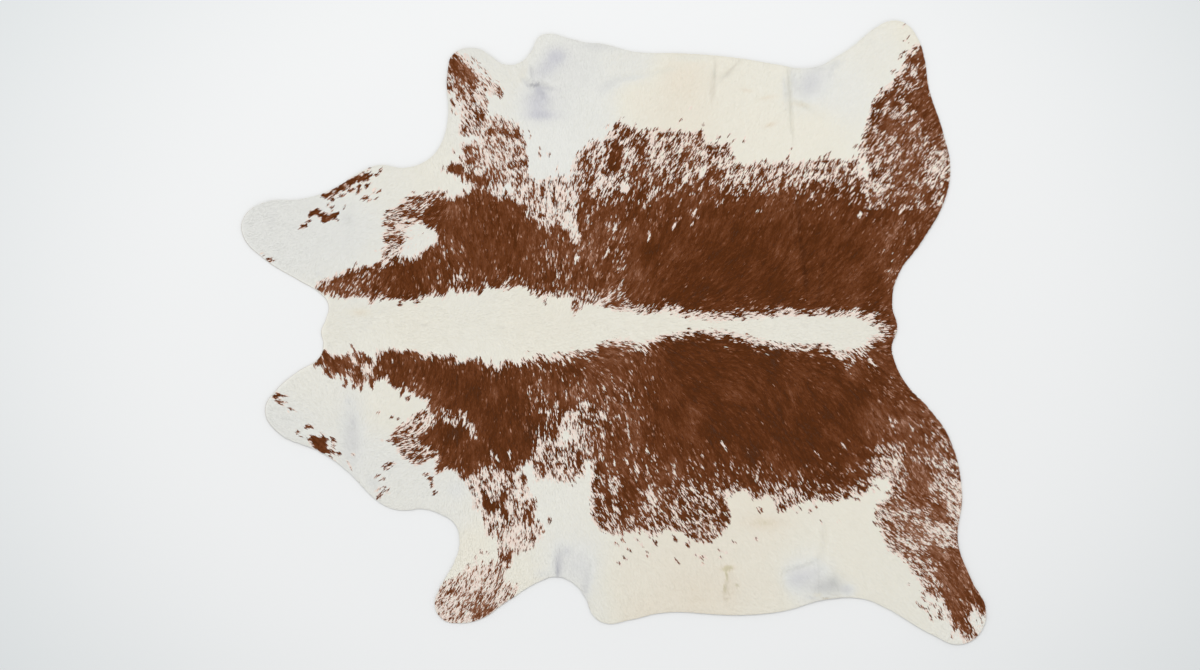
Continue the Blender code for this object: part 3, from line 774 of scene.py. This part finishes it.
def make_skin(outline, places, triangles, rim):
    """The tanned skin: a face, an underside and a cut edge with its corners rounded off."""
    outward = outward_ways(outline)
    under = FLOOR_GAP + lie_of_hide(places) * MM
    top = np.column_stack([places * MM, under + SKIN_THICKNESS])
    bottom = np.column_stack([places * MM, under])
    edge_under = under[rim]
    rings = []
    for share in EDGE_RING_HEIGHTS:
        level = edge_under + share * SKIN_THICKNESS
        rings.append(np.column_stack([(places[rim] + outward * EDGE_ROUNDING) * MM, level]))
    points = np.concatenate([top, bottom, *rings])
    count, turns = len(places), len(rim)
    faces = [tuple(face) for face in triangles.tolist()]
    faces += [tuple(face[::-1]) for face in (triangles + count).tolist()]
    ladder = [rim + count, 2 * count + np.arange(turns), 2 * count + turns + np.arange(turns), rim]
    for lower, upper in zip(ladder, ladder[1:]):
        for i in range(turns):
            j = (i + 1) % turns
            faces.append((int(lower[i]), int(lower[j]), int(upper[j])))
            faces.append((int(lower[i]), int(upper[j]), int(upper[i])))
    skin = new_mesh_object("hide_skin", points, np.array(faces))
    sheet = len(triangles)
    finish_number = np.zeros(len(faces), np.int32)
    finish_number[sheet : 2 * sheet] = 1
    finish_number[2 * sheet :] = 2
    skin.data.polygons.foreach_set("material_index", finish_number)
    skin.data.polygons.foreach_set("use_smooth", np.ones(len(faces), bool))
    share = np.clip(brown_share(places), 0, 1)
    tint, light = pale_tint(places)
    ring_points = rim[np.tile(np.arange(turns), len(rings))]
    for name, values in (("brown", share), ("tint", tint), ("light", light)):
        whole = np.concatenate([values, values, values[ring_points]])
        put_attribute(skin.data, name, "FLOAT", whole)
    # A flat map of the whole hide. No finish here reads it.
    flat = points[:, :2] / SKIN_MAP_SIZE + 0.5
    loops = np.empty(len(skin.data.loops), np.int32)
    skin.data.loops.foreach_get("vertex_index", loops)
    put_attribute(skin.data, "SkinMap", "FLOAT2", flat[loops], "CORNER")
    return skin


# ---- the coat of hair locks ----------------------------------------------------------------------

LOCKS_PER_SQUARE_METRE = 225000
LEAST_SPACING = 1.92 * MM
LOCK_LENGTH = 14.0 * MM
LOCK_WIDTH = 2.7 * MM
LOCK_SIZES = {
    "Locks per square metre": float(LOCKS_PER_SQUARE_METRE),
    "Least spacing": LEAST_SPACING,
    "Lock length": LOCK_LENGTH,
    "Lock width": LOCK_WIDTH,
    "Length spread": LOCK_LENGTH * 0.22,
    "Lift": 0.075,
    "Lift spread": 0.05,
    "Turn spread": 0.20,
    "Roll spread": 0.15,
}
LOCK_NAMES = ("First lock", "Second lock", "Third lock")
SHORTEST_LOCK = 0.35
TRIM_BAND = 6.0
TRIM_AT_EDGE = 1.2
TRIM_MOST_OVER = 0.9
TRIM_SOFTNESS = 14.0
TRIM_DROP = 0.12
COARSE_CELL = 20.0
COARSE_DOUBT = 18.0
TONE_HALF_WIDTH = 0.002
PALE_TONE_START = 0.03
PALE_TONE_SPAN = 0.37
PINKISH_TONE = 0.50
BROWN_TONE_START = 0.57
BROWN_TONE_SPAN = 0.43
FINE_PART = 0.74
BROAD_PART = 0.43
BORDER_RAGGEDNESS = 4.0
TURNS_BROWN = -0.8
RIM_BAND = 14.0
RIM_PAINTED_SHADE = 0.13
RIM_SOFTNESS = 4.5
COAT_REGIONS = ("coat_neck", "coat_shoulder", "coat_back", "coat_loin", "coat_rump")


def make_lock_blanks():
    """Three flat tapered locks of unit length along +X: straight, and swept to either side."""
    blanks = []
    for name, sweep in (("lock_straight", 0.0), ("lock_left", 0.55), ("lock_right", -0.55)):
        points = np.array(
            [
                (0.0, 0.36, -0.010),
                (0.0, -0.36, -0.010),
                (0.48, 0.50 + sweep * 0.25, 0.050),
                (0.48, -0.50 + sweep * 0.25, 0.050),
                (1.0, sweep, 0.018),
            ]
        )
        blank = new_mesh_object(name, points, np.array([(0, 1, 3), (0, 3, 2), (2, 3, 4)]))
        blank.data.polygons.foreach_set("use_smooth", np.ones(3, bool))
        blanks.append(blank)
    return blanks


class Tree:
    """A node group that is built by naming node types, settings and what goes into each socket."""

    def __init__(self, tree):
        self.tree = tree

    def node(self, kind, settings=None, **inputs):
        made = self.tree.nodes.new(kind)
        for name, value in (settings or {}).items():
            setattr(made, name, value)
        for name, value in inputs.items():
            socket = next(s for s in made.inputs if s.enabled and s.name.replace(" ", "_") == name)
            self.feed(socket, value)
        return made

    def feed(self, socket, value):
        value = value.socket if isinstance(value, Wire) else value
        if isinstance(value, bpy.types.NodeSocket):
            self.tree.links.new(value, socket)
        else:
            socket.default_value = value

    def reckon(self, operation, first, second):
        made = self.node("ShaderNodeMath", {"operation": operation})
        self.feed(made.inputs[0], first)
        self.feed(made.inputs[1], second)
        return made.outputs[0]


def coat_tree():
    """Scatters locks over a bed of hide faces and lays each one along the bed's comb directions."""
    group = bpy.data.node_groups.new("lay_hair_locks", "GeometryNodeTree")
    face = group.interface
    sockets = [("Bed", "Geometry")] + [(name, "Float") for name in LOCK_SIZES] + [("Seed", "Int")]
    sockets += [(name, "Object") for name in LOCK_NAMES] + [("Hair", "Material")]
    for name, kind in sockets:
        face.new_socket(name, in_out="INPUT", socket_type="NodeSocket" + kind)
    face.new_socket("Coat", in_out="OUTPUT", socket_type="NodeSocketGeometry")
    t = Tree(group)
    given = t.node("NodeGroupInput").outputs

    def spread(number, middle, half):
        low = t.reckon("SUBTRACT", middle, half)
        high = t.reckon("ADD", middle, half)
        seed = t.reckon("ADD", given["Seed"], float(number))
        return t.node("FunctionNodeRandomValue", {"data_type": "FLOAT"}, Min=low, Max=high,
                      Seed=seed).outputs[1]

    points = t.node("GeometryNodeDistributePointsOnFaces", {"distribute_method": "POISSON"},
                    Mesh=given["Bed"], Distance_Min=given["Least spacing"],
                    Density_Max=given["Locks per square metre"], Seed=given["Seed"])
    comb = t.node("GeometryNodeInputNamedAttribute", {"data_type": "FLOAT_VECTOR"}, Name="comb")
    along = t.node("FunctionNodeAlignRotationToVector", {"axis": "X", "pivot_axis": "Z"},
                   Rotation=points.outputs["Rotation"], Vector=comb.outputs[0])
    lift = t.reckon("MULTIPLY", spread(1, given["Lift"], given["Lift spread"]), -1.0)
    own_turn = t.node("ShaderNodeCombineXYZ", X=spread(2, 0.0, given["Roll spread"]), Y=lift,
                      Z=spread(3, 0.0, given["Turn spread"]))
    turned = t.node("FunctionNodeRotateRotation", {"rotation_space": "LOCAL"},
                    Rotation=along.outputs[0],
                    Rotate_By=t.node("FunctionNodeEulerToRotation",
                                     Euler=own_turn.outputs[0]).outputs[0])
    room = t.node("GeometryNodeInputNamedAttribute", {"data_type": "FLOAT"}, Name="room")
    length = t.reckon("MULTIPLY", spread(4, given["Lock length"], given["Length spread"]),
                    room.outputs[0])
    size = t.node("ShaderNodeCombineXYZ", X=length, Y=given["Lock width"], Z=given["Lock length"])
    blanks = t.node("GeometryNodeGeometryToInstance")
    for name in reversed(LOCK_NAMES):
        lock = t.node("GeometryNodeObjectInfo", Object=given[name], As_Instance=True)
        t.tree.links.new(lock.outputs["Geometry"], blanks.inputs[0])
    pick = t.node("FunctionNodeRandomValue", {"data_type": "INT"}, Min=0, Max=2, Seed=7)
    laid = t.node("GeometryNodeInstanceOnPoints", Points=points.outputs["Points"],
                  Instance=blanks.outputs[0], Pick_Instance=True, Instance_Index=pick.outputs[2],
                  Rotation=turned.outputs[0], Scale=size.outputs[0])
    real = t.node("GeometryNodeRealizeInstances", Geometry=laid.outputs[0])
    finished = t.node("GeometryNodeSetMaterial", Geometry=real.outputs[0], Material=given["Hair"])
    t.feed(t.node("NodeGroupOutput").inputs[0], finished.outputs[0])
    return group


def hair_bed(name, places, heights, triangles, comb, room):
    """A loose sheet of the hide's own face that one region's locks grow from."""
    used, faces = np.unique(triangles, return_inverse=True)
    points = np.column_stack([places[used] * MM, heights[used]])
    bed = new_mesh_object(name, points, faces.reshape(-1, 3))
    direction = np.column_stack([comb[used], np.zeros(len(used))])
    put_attribute(bed.data, "comb", "FLOAT_VECTOR", direction)
    put_attribute(bed.data, "room", "FLOAT", room[used])
    return bed


def lay_locks(bed, tree, blanks, hair, seed):
    """Grows one region's locks and keeps them as a plain mesh."""
    grower = bed.modifiers.new("hair locks", "NODES")
    grower.node_group = tree
    wanted = {**LOCK_SIZES, **dict(zip(LOCK_NAMES, blanks)), "Seed": seed, "Hair": hair}
    for item in tree.interface.items_tree:
        if item.in_out == "INPUT" and item.name in wanted:
            grower[item.identifier] = wanted[item.name]
    bpy.context.view_layer.update()
    whole = bed.evaluated_get(bpy.context.evaluated_depsgraph_get())
    mesh = bpy.data.meshes.new_from_object(whole)
    coat = bpy.data.objects.new(bed.name.replace("_bed", ""), mesh)
    bpy.context.scene.collection.objects.link(coat)
    old = bed.data
    bpy.data.objects.remove(bed)
    bpy.data.meshes.remove(old)
    return coat


def trim_to_outline(points, outline):
    """Draws in what hangs past the cut edge, as a maker's shears leave it."""
    flat = points[:, :2] / MM
    band = np.flatnonzero(gap_to_loop_coarse(flat, outline) < TRIM_BAND)
    gaps = gap_to_loop(flat[band], outline)
    over = band[gaps < -TRIM_AT_EDGE]
    runs = np.roll(outline, -1, axis=0) - outline
    for index in over:
        place = flat[index]
        share = ((place - outline) * runs).sum(1) / np.maximum((runs**2).sum(1), LEAST_DIVISOR)
        foot = outline + np.clip(share, 0, 1)[:, None] * runs
        nearest = foot[((place - foot) ** 2).sum(1).argmin()]
        away = place - nearest
        distance = np.linalg.norm(away)
        beyond = (distance - TRIM_AT_EDGE) / TRIM_SOFTNESS
        kept = TRIM_AT_EDGE + TRIM_MOST_OVER * math.tanh(beyond)
        points[index, :2] = (nearest + away / distance * kept) * MM
        drop = min(distance - kept, TRIM_BAND) * TRIM_DROP * MM
        points[index, 2] = max(points[index, 2] - drop, FLOOR_GAP)
    return points


def gap_to_loop_coarse(places, outline):
    """A quick lower guess of the gap to the outline, from every fourth of its points."""
    sparse = outline[::4]
    cells = np.floor(places / COARSE_CELL).astype(int)
    keys, back = np.unique(cells, axis=0, return_inverse=True)
    middles = (keys + 0.5) * COARSE_CELL
    gaps = gap_to_loop(middles, sparse) - COARSE_DOUBT
    return gaps[back.ravel()]


def mingle_hair(middle, comb, rng):
    """Each lock's own number, how far it is on the brown side, how near brown is, and its roan."""
    own = rng.standard_normal(len(middle))
    fine = streaks(middle, comb, 2.8, 5.0, 31)
    broad = streaks(middle, comb, 10.0, 10.0, 32)
    shift = streaks(middle, comb, 5.0, 7.0, 33)
    roan = roan_share(middle)
    alone = 0.46 + 0.34 * np.clip(roan, 0, 1)
    spread = np.sqrt(FINE_PART**2 + BROAD_PART**2 + alone**2)
    chance = (FINE_PART * fine + BROAD_PART * broad + alone * own) / spread
    level = 1.0 / (1.0 + np.exp(-1.702 * chance))
    share = brown_share(middle - comb * (shift * BORDER_RAGGEDNESS)[:, None])
    margin = share - 0.012 - level
    near_brown = smooth(share * 4.0)
    mingled = margin + 0.03 * near_brown * rng.standard_normal(len(middle))
    mingled /= 0.003 + near_brown * (0.060 + 0.12 * np.clip(roan, 0, 1))
    return own, mingled, near_brown, roan


def pale_locks(middle, own, mingled, near_brown, rng):
    """The tone and light of each lock as a pale one, pinkish or darker where brown is near."""
    tint, light = pale_tint(middle)
    tint += 0.02 * own
    tone = PALE_TONE_START + PALE_TONE_SPAN * np.clip(tint, 0, 1)
    pinkish = rng.random(len(middle)) < 0.75 * near_brown
    tone = np.where(pinkish, PINKISH_TONE, tone)
    light = light + 0.014 * rng.standard_normal(len(middle))
    light += near_brown * (0.02 + 0.09 * rng.standard_normal(len(middle)))
    light -= near_brown * 0.34 * np.exp(-np.clip(-mingled + TURNS_BROWN, 0, 9) / 1.5)
    return tone, light


def brown_locks(middle, comb, mingled, roan, rng):
    """The tone and light of each lock as a brown one, roan where it mingles, with painted shade in a
    crease.
    """
    depth = 0.29 + 0.05 * cloud(middle, 60, 41) + 0.07 * streaks(middle, comb, 7.0, 14.0, 42)
    depth += 0.07 * rng.standard_normal(len(middle)) + 0.20 * roan
    roan_depth = 0.80 + 0.10 * rng.standard_normal(len(middle))
    depth += (roan_depth - np.clip(depth, 0, 1)) * smooth((1.9 - mingled) / 2.7)
    tone = BROWN_TONE_START + BROWN_TONE_SPAN * np.clip(depth, 0, 1)
    light = 0.62 + 0.06 * rng.standard_normal(len(middle))
    # Painted shade: brown locks are darkened along the sharp creases.
    light -= 0.60 * painted_crease_shade(middle)
    return tone, light


def paint_locks(coat, outline, seed):
    """Gives each lock its own tone and light, with painted shade at the root and along the cut edge, and
    trims the locks at the hide's edge.
    """
    points = np.empty(len(coat.data.vertices) * 3, np.float32)
    coat.data.vertices.foreach_get("co", points)
    points = points.reshape(-1, 3).astype(float)
    locks = points.reshape(-1, 5, 3)
    middle = locks[:, 2:4, :2].mean(1) / MM
    comb = comb_directions(middle)
    rng = np.random.default_rng(seed)
    own, mingled, near_brown, roan = mingle_hair(middle, comb, rng)
    pale_u, pale_v = pale_locks(middle, own, mingled, near_brown, rng)
    brown_u, brown_v = brown_locks(middle, comb, mingled, roan, rng)
    # Painted shade: pale locks near the cut edge are darkened, standing for the shade along the edge.
    rim = np.flatnonzero(gap_to_loop_coarse(middle, outline) < RIM_BAND)
    pale_v[rim] -= RIM_PAINTED_SHADE * np.exp(-np.abs(gap_to_loop(middle[rim], outline)) / RIM_SOFTNESS)
    brown = mingled > TURNS_BROWN
    tone = np.where(brown, brown_u, pale_u)
    light = np.clip(np.where(brown, brown_v, pale_v), 0.04, 0.93)
    # Painted shade: each lock is darker at its root and lighter at its tip, more so for brown locks.
    along = np.array([-0.035, -0.035, 0.0, 0.0, 0.03])
    across = np.array([TONE_HALF_WIDTH, -TONE_HALF_WIDTH] * 2 + [0.0])
    steps = np.where(brown[:, None], 1.0, 0.35)
    tone_and_light = [tone[:, None] + across[None, :], light[:, None] + along[None, :] * steps]
    pairs = np.stack(tone_and_light, axis=2).reshape(-1, 2)
    corners = np.empty(len(coat.data.loops), np.int32)
    coat.data.loops.foreach_get("vertex_index", corners)
    put_attribute(coat.data, "OFBake", "FLOAT2", pairs[corners], "CORNER")
    points = trim_to_outline(points, outline)
    coat.data.vertices.foreach_set("co", points.astype(np.float32).ravel())
    coat.data.update()


# Where white hairs mingle with the brown: place, radius and strength.
ROAN_PLACES = (
    (930, -430, 130, 0.7), (960, -620, 130, 0.7), (1040, -760, 130, 0.6), (880, -560, 90, 0.4),
    (880, -230, 120, 0.25), (880, 250, 110, 0.15), (900, 620, 120, 0.7), (890, 450, 120, 0.5),
    (-790, 140, 80, 0.4), (-800, -100, 80, 0.4), (-440, 770, 100, 0.8), (-400, -820, 120, 0.8),
    (-340, 560, 130, 0.6), (0, -60, 90, 0.4), (0, 110, 90, 0.4), (-660, 330, 80, 0.3),
    (120, -460, 120, 0.3), (150, 480, 120, 0.3), (500, 440, 120, 0.3), (800, -80, 70, 0.4),
    (-60, 250, 120, 0.5), (0, -250, 120, 0.4), (400, -200, 280, -0.75), (-380, -220, 160, -0.35),
    (400, 180, 220, -0.25), (-400, 280, 150, 0.10),
)


def roan_share(places):
    """How much the brown fades to roan at each place, below 0 where it is deeper brown."""
    share = np.zeros(len(places))
    for x, y, radius, strength in ROAN_PLACES:
        share += strength * np.exp(-((places - (x, y)) ** 2).sum(1) / radius**2)
    return np.clip(share, -1.0, 1.0)


# ---- finishes ------------------------------------------------------------------------------------


class Wire:
    """A shader socket that takes part in sums, so that an expression on it adds its Math nodes."""

    def __init__(self, tree, socket):
        self.tree = tree
        self.socket = socket

    def _math(self, operation, first, second):
        return Wire(self.tree, self.tree.reckon(operation, first, second))

    def __add__(self, other):
        return self._math("ADD", self, other)

    def __radd__(self, other):
        return self._math("ADD", other, self)

    def __sub__(self, other):
        return self._math("SUBTRACT", self, other)

    def __rsub__(self, other):
        return self._math("SUBTRACT", other, self)

    def __mul__(self, other):
        return self._math("MULTIPLY", self, other)

    def __rmul__(self, other):
        return self._math("MULTIPLY", other, self)


class Finish(Tree):
    """A material's nodes, with its Principled shader and output in place."""

    def __init__(self, name, roughness, specular):
        self.material = bpy.data.materials.new(name)
        self.material.use_nodes = True
        super().__init__(self.material.node_tree)
        self.tree.nodes.clear()
        self.shader = self.node("ShaderNodeBsdfPrincipled")
        self.shader.inputs["Roughness"].default_value = roughness
        self.shader.inputs["Specular IOR Level"].default_value = specular
        output = self.node("ShaderNodeOutputMaterial")
        self.tree.links.new(self.shader.outputs[0], output.inputs[0])

    def set(self, name, value):
        self.feed(self.shader.inputs[name], value)

    def value(self, kind, output=0, settings=None, **inputs):
        return Wire(self, self.node(kind, settings, **inputs).outputs[output])

    def ramp(self, factor, stops):
        made = self.node("ShaderNodeValToRGB", Fac=factor)
        elements = made.color_ramp.elements
        while len(elements) < len(stops):
            elements.new(0.5)
        for element, (position, colour) in zip(elements, stops):
            element.position = position
            element.color = (*linear(colour), 1.0)
        return Wire(self, made.outputs[0])

    def mixed(self, blend, factor, first, second):
        made = self.node("ShaderNodeMix", {"data_type": "RGBA", "blend_type": blend})
        for index, value in ((0, factor), (6, first), (7, second)):
            self.feed(made.inputs[index], value)
        return Wire(self, made.outputs[2])

    def lightened(self, colour, light):
        """A colour at its place in the span from dark to light."""
        level = LIGHT_SPAN[0] + light * (LIGHT_SPAN[1] - LIGHT_SPAN[0])
        grey = self.value("ShaderNodeCombineXYZ", X=level, Y=level, Z=level)
        return self.mixed("MULTIPLY", 1.0, colour, grey)

    def noise(self, size, detail=2.0):
        place = self.value("ShaderNodeTexCoord", 3)
        return self.value("ShaderNodeTexNoise", Vector=place, Scale=1.0 / size, Detail=detail)

    def bump(self, height, strength, depth):
        bumped = self.value("ShaderNodeBump", Strength=strength, Distance=depth, Height=height)
        self.set("Normal", bumped)


def linear(colour):
    """A shown colour, 0 to 255, as the light it stands for."""
    shares = [part / 255.0 for part in colour]
    return tuple(s / 12.92 if s <= 0.04045 else ((s + 0.055) / 1.055) ** 2.4 for s in shares)


HAIR_TONES = (
    (0.03, (206, 206, 210)),
    (0.10, (216, 216, 215)),
    (0.18, (224, 224, 219)),
    (0.26, (227, 224, 212)),
    (0.35, (226, 218, 202)),
    (0.40, (208, 200, 172)),
    (0.47, (230, 214, 203)),
    (0.53, (230, 214, 203)),
    (0.57, (76, 37, 6)),
    (0.66, (91, 45, 12)),
    (0.76, (111, 62, 33)),
    (0.84, (136, 90, 65)),
    (0.91, (168, 127, 105)),
    (1.00, (210, 176, 157)),
)
PALE_TONES = 6
LIGHT_SPAN = (0.78, 1.28)


def hair_finish():
    """Hair of both colours: the map's U picks the tone, and its V how light it is from root to tip, which
    carries painted shade at roots, creases and the cut edge.
    """
    hair = Finish("combed_cow_hair", 0.62, 0.07)
    place = hair.node("ShaderNodeSeparateXYZ",
                      Vector=hair.node("ShaderNodeUVMap", {"uv_map": "OFBake"}).outputs[0])
    tone = Wire(hair, place.outputs[0])
    light = Wire(hair, place.outputs[1])
    hair.set("Base Color", hair.lightened(hair.ramp(tone, HAIR_TONES), light))
    hair.set("Roughness", 0.70 - tone * 0.14 - light * 0.06)
    hair.bump(hair.noise(0.6 * MM, 1.0), 0.10, 0.1 * MM)
    return hair.material


def skin_face_finish():
    """The hair's roots over the skin, seen between the locks."""
    face = Finish("hair_roots", 0.82, 0.15)
    brown, tint, light = (
        face.value("ShaderNodeAttribute", 2, {"attribute_name": name})
        for name in ("brown", "tint", "light")
    )
    tone = tint * PALE_TONE_SPAN + PALE_TONE_START
    pale = face.lightened(face.ramp(tone, HAIR_TONES[:PALE_TONES]), light)
    mottle = face.noise(3.0 * MM, 3.0)
    dark = face.ramp(mottle, ((0.3, (72, 36, 16)), (0.7, (100, 58, 36))))
    share = face.value("ShaderNodeMapRange", Value=brown + (mottle - 0.5) * 0.5, From_Min=0.35,
                       From_Max=0.65)
    face.set("Base Color", face.mixed("MIX", share, pale, dark))
    face.set("Roughness", 0.76 + mottle * 0.12)
    face.bump(face.noise(1.1 * MM, 2.0), 0.35, 0.3 * MM)
    return face.material


def suede_finish():
    """The flesh side: buffed suede with faint veins."""
    suede = Finish("buffed_suede_underside", 0.95, 0.08)
    nap = suede.noise(1.4 * MM, 4.0)
    clouding = suede.noise(60.0 * MM, 3.0)
    tans = ((0.30, (196, 180, 154)), (0.55, (212, 198, 174)), (0.75, (222, 211, 190)))
    base = suede.ramp(clouding, tans)
    fine = suede.ramp(nap, ((0.35, (226, 222, 214)), (0.65, (255, 255, 255))))
    suede.set("Base Color", suede.mixed("MULTIPLY", 0.7, base, fine))
    suede.set("Roughness", 0.88 + nap * 0.10)
    suede.bump(nap, 0.5, 0.5 * MM)
    return suede.material


def cut_edge_finish():
    """The knife-cut edge of the tanned skin."""
    edge = Finish("cut_skin_edge", 0.85, 0.12)
    fibre = edge.noise(0.8 * MM, 3.0)
    patchy = edge.noise(35.0 * MM, 2.0)
    base = edge.ramp(patchy, ((0.3, (198, 190, 174)), (0.7, (216, 210, 197))))
    fine = edge.ramp(fibre, ((0.3, (222, 216, 206)), (0.7, (255, 255, 255))))
    edge.set("Base Color", edge.mixed("MULTIPLY", 0.8, base, fine))
    edge.set("Roughness", 0.80 + fibre * 0.15)
    edge.bump(fibre, 0.5, 0.3 * MM)
    return edge.material


# Painted shade on the floor: how the darkening is stretched, and where it starts and ends, in metres from
# the rug.
FLOOR_SHADE_SHAPE = (1.0, 1.25, 0.0)
FLOOR_SHADE_STARTS = 1.20
FLOOR_SHADE_ENDS = 2.90


def floor_finish():
    """A pale studio floor with painted shade: its colour darkens far from the rug, standing in for the
    lamp's falloff.
    """
    floor = Finish("pale_studio_floor", 0.75, 0.05)
    place = floor.node("ShaderNodeTexCoord").outputs[3]
    middle = floor.node("ShaderNodeVectorMath", {"operation": "MULTIPLY"})
    floor.feed(middle.inputs[0], place)
    floor.feed(middle.inputs[1], FLOOR_SHADE_SHAPE)
    reach = floor.node("ShaderNodeVectorMath", {"operation": "LENGTH"})
    floor.feed(reach.inputs[0], middle.outputs[0])
    far = floor.value("ShaderNodeMapRange", 0, {"interpolation_type": "SMOOTHSTEP"},
                      Value=reach.outputs["Value"], From_Min=FLOOR_SHADE_STARTS,
                      From_Max=FLOOR_SHADE_ENDS)
    soft = floor.noise(900.0 * MM, 1.0)
    # Painted shade: the floor colour darkens towards its far reaches.
    colour = floor.ramp(far + (soft - 0.5) * 0.04, ((0.0, (241, 242, 242)), (1.0, (216, 221, 222))))
    floor.set("Base Color", colour)
    return floor.material


# ---- floor, light and camera ---------------------------------------------------------------------

CAMERA_HEIGHT = 10.0
CAMERA_LENS = 100.0
CAMERA_SENSOR = 36.0
FRAME_CENTRE = (-0.0405, -0.0075)
SKY_STRENGTH = 0.70
LAMP_WATTS = 205.0
LAMP_SIZE = (6.0, 3.0)
LAMP_PLACE = (-0.5, 2.9, 6.9)
FLOOR_HALF = 14.0


def set_stage():
    """The floor, a soft surrounding light, one wide lamp and the camera straight above."""
    size = FLOOR_HALF
    corners = np.array([(-size, -size, 0), (size, -size, 0), (size, size, 0), (-size, size, 0)])
    floor = new_mesh_object("studio_floor", corners, np.array([(0, 1, 2), (0, 2, 3)]))
    floor.data.materials.append(floor_finish())
    scene = bpy.context.scene
    world = bpy.data.worlds.new("studio_air")
    world.use_nodes = True
    world.node_tree.nodes["Background"].inputs[0].default_value = (0.985, 0.99, 1.0, 1.0)
    world.node_tree.nodes["Background"].inputs[1].default_value = SKY_STRENGTH
    scene.world = world
    scene.view_settings.view_transform = "Standard"
    lamp_data = bpy.data.lights.new("soft_lamp", "AREA")
    lamp_data.shape = "RECTANGLE"
    lamp_data.size, lamp_data.size_y = LAMP_SIZE
    lamp_data.energy = LAMP_WATTS
    lamp_data.color = (1.0, 0.995, 0.985)
    lamp = bpy.data.objects.new("soft_lamp", lamp_data)
    lamp.location = LAMP_PLACE
    lamp.rotation_mode = "QUATERNION"
    lamp.rotation_quaternion = (Vector((0, 0, 0)) - lamp.location).to_track_quat("-Z", "Y")
    scene.collection.objects.link(lamp)
    camera_data = bpy.data.cameras.new("overhead_camera")
    camera_data.lens = CAMERA_LENS
    camera_data.sensor_width = CAMERA_SENSOR
    camera = bpy.data.objects.new("overhead_camera", camera_data)
    camera.location = (*FRAME_CENTRE, CAMERA_HEIGHT)
    scene.collection.objects.link(camera)
    scene.camera = camera


# ---- making the rug ------------------------------------------------------------------------------


def room_for_hair(outline, places, comb):
    """What share of its full length a lock may have, less where it points at the cut edge."""
    gap = gap_to_loop(places, outline)
    nearest = np.array([((outline - place) ** 2).sum(1).argmin() for place in places])
    facing = (comb * outward_ways(outline)[nearest]).sum(1)
    free = (gap + 3.0) / np.maximum(facing, 0.05) / (LOCK_LENGTH / MM)
    return np.where(facing > 0.1, np.clip(free, SHORTEST_LOCK, 1.0), 1.0)


def make_coat(outline, places, triangles, hair):
    """The coat in five regions from neck to rump, so that no one mesh grows too large."""
    heights = FLOOR_GAP + lie_of_hide(places) * MM + SKIN_THICKNESS
    comb = comb_directions(places)
    room = room_for_hair(outline, places, comb)
    corner = places[triangles]
    middles = corner.mean(1)
    sides = corner[:, 1:] - corner[:, :1]
    areas = np.abs(sides[:, 0, 0] * sides[:, 1, 1] - sides[:, 0, 1] * sides[:, 1, 0]) / 2
    order = np.argsort(middles[:, 0], kind="stable")
    share = np.cumsum(areas[order]) / areas.sum()
    region = np.empty(len(triangles), int)
    region[order] = np.minimum((share * len(COAT_REGIONS)).astype(int), len(COAT_REGIONS) - 1)
    blanks = make_lock_blanks()
    tree = coat_tree()
    coats = []
    for number, name in enumerate(COAT_REGIONS):
        part = triangles[region == number]
        bed = hair_bed(name + "_bed", places, heights, part, comb, room)
        coat = lay_locks(bed, tree, blanks, hair, 100 + number)
        paint_locks(coat, outline, 200 + number)
        coats.append(coat)
    for blank in blanks:
        bpy.data.objects.remove(blank)
    return coats


def make_rug():
    """The whole rug, with its pieces attached to the root body."""
    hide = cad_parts["hide"]
    outline = cut_outline(hide)
    places, triangles, rim = top_sheet(outline)
    skin = make_skin(outline, places, triangles, rim)
    for finish in (skin_face_finish(), suede_finish(), cut_edge_finish()):
        skin.data.materials.append(finish)
    coats = make_coat(outline, places, triangles, hair_finish())
    for piece in (skin, *coats):
        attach(piece, "root")
    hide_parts("hide")
    cut_area = abs(signed_area(outline)) * MM * MM


set_stage()
make_rug()
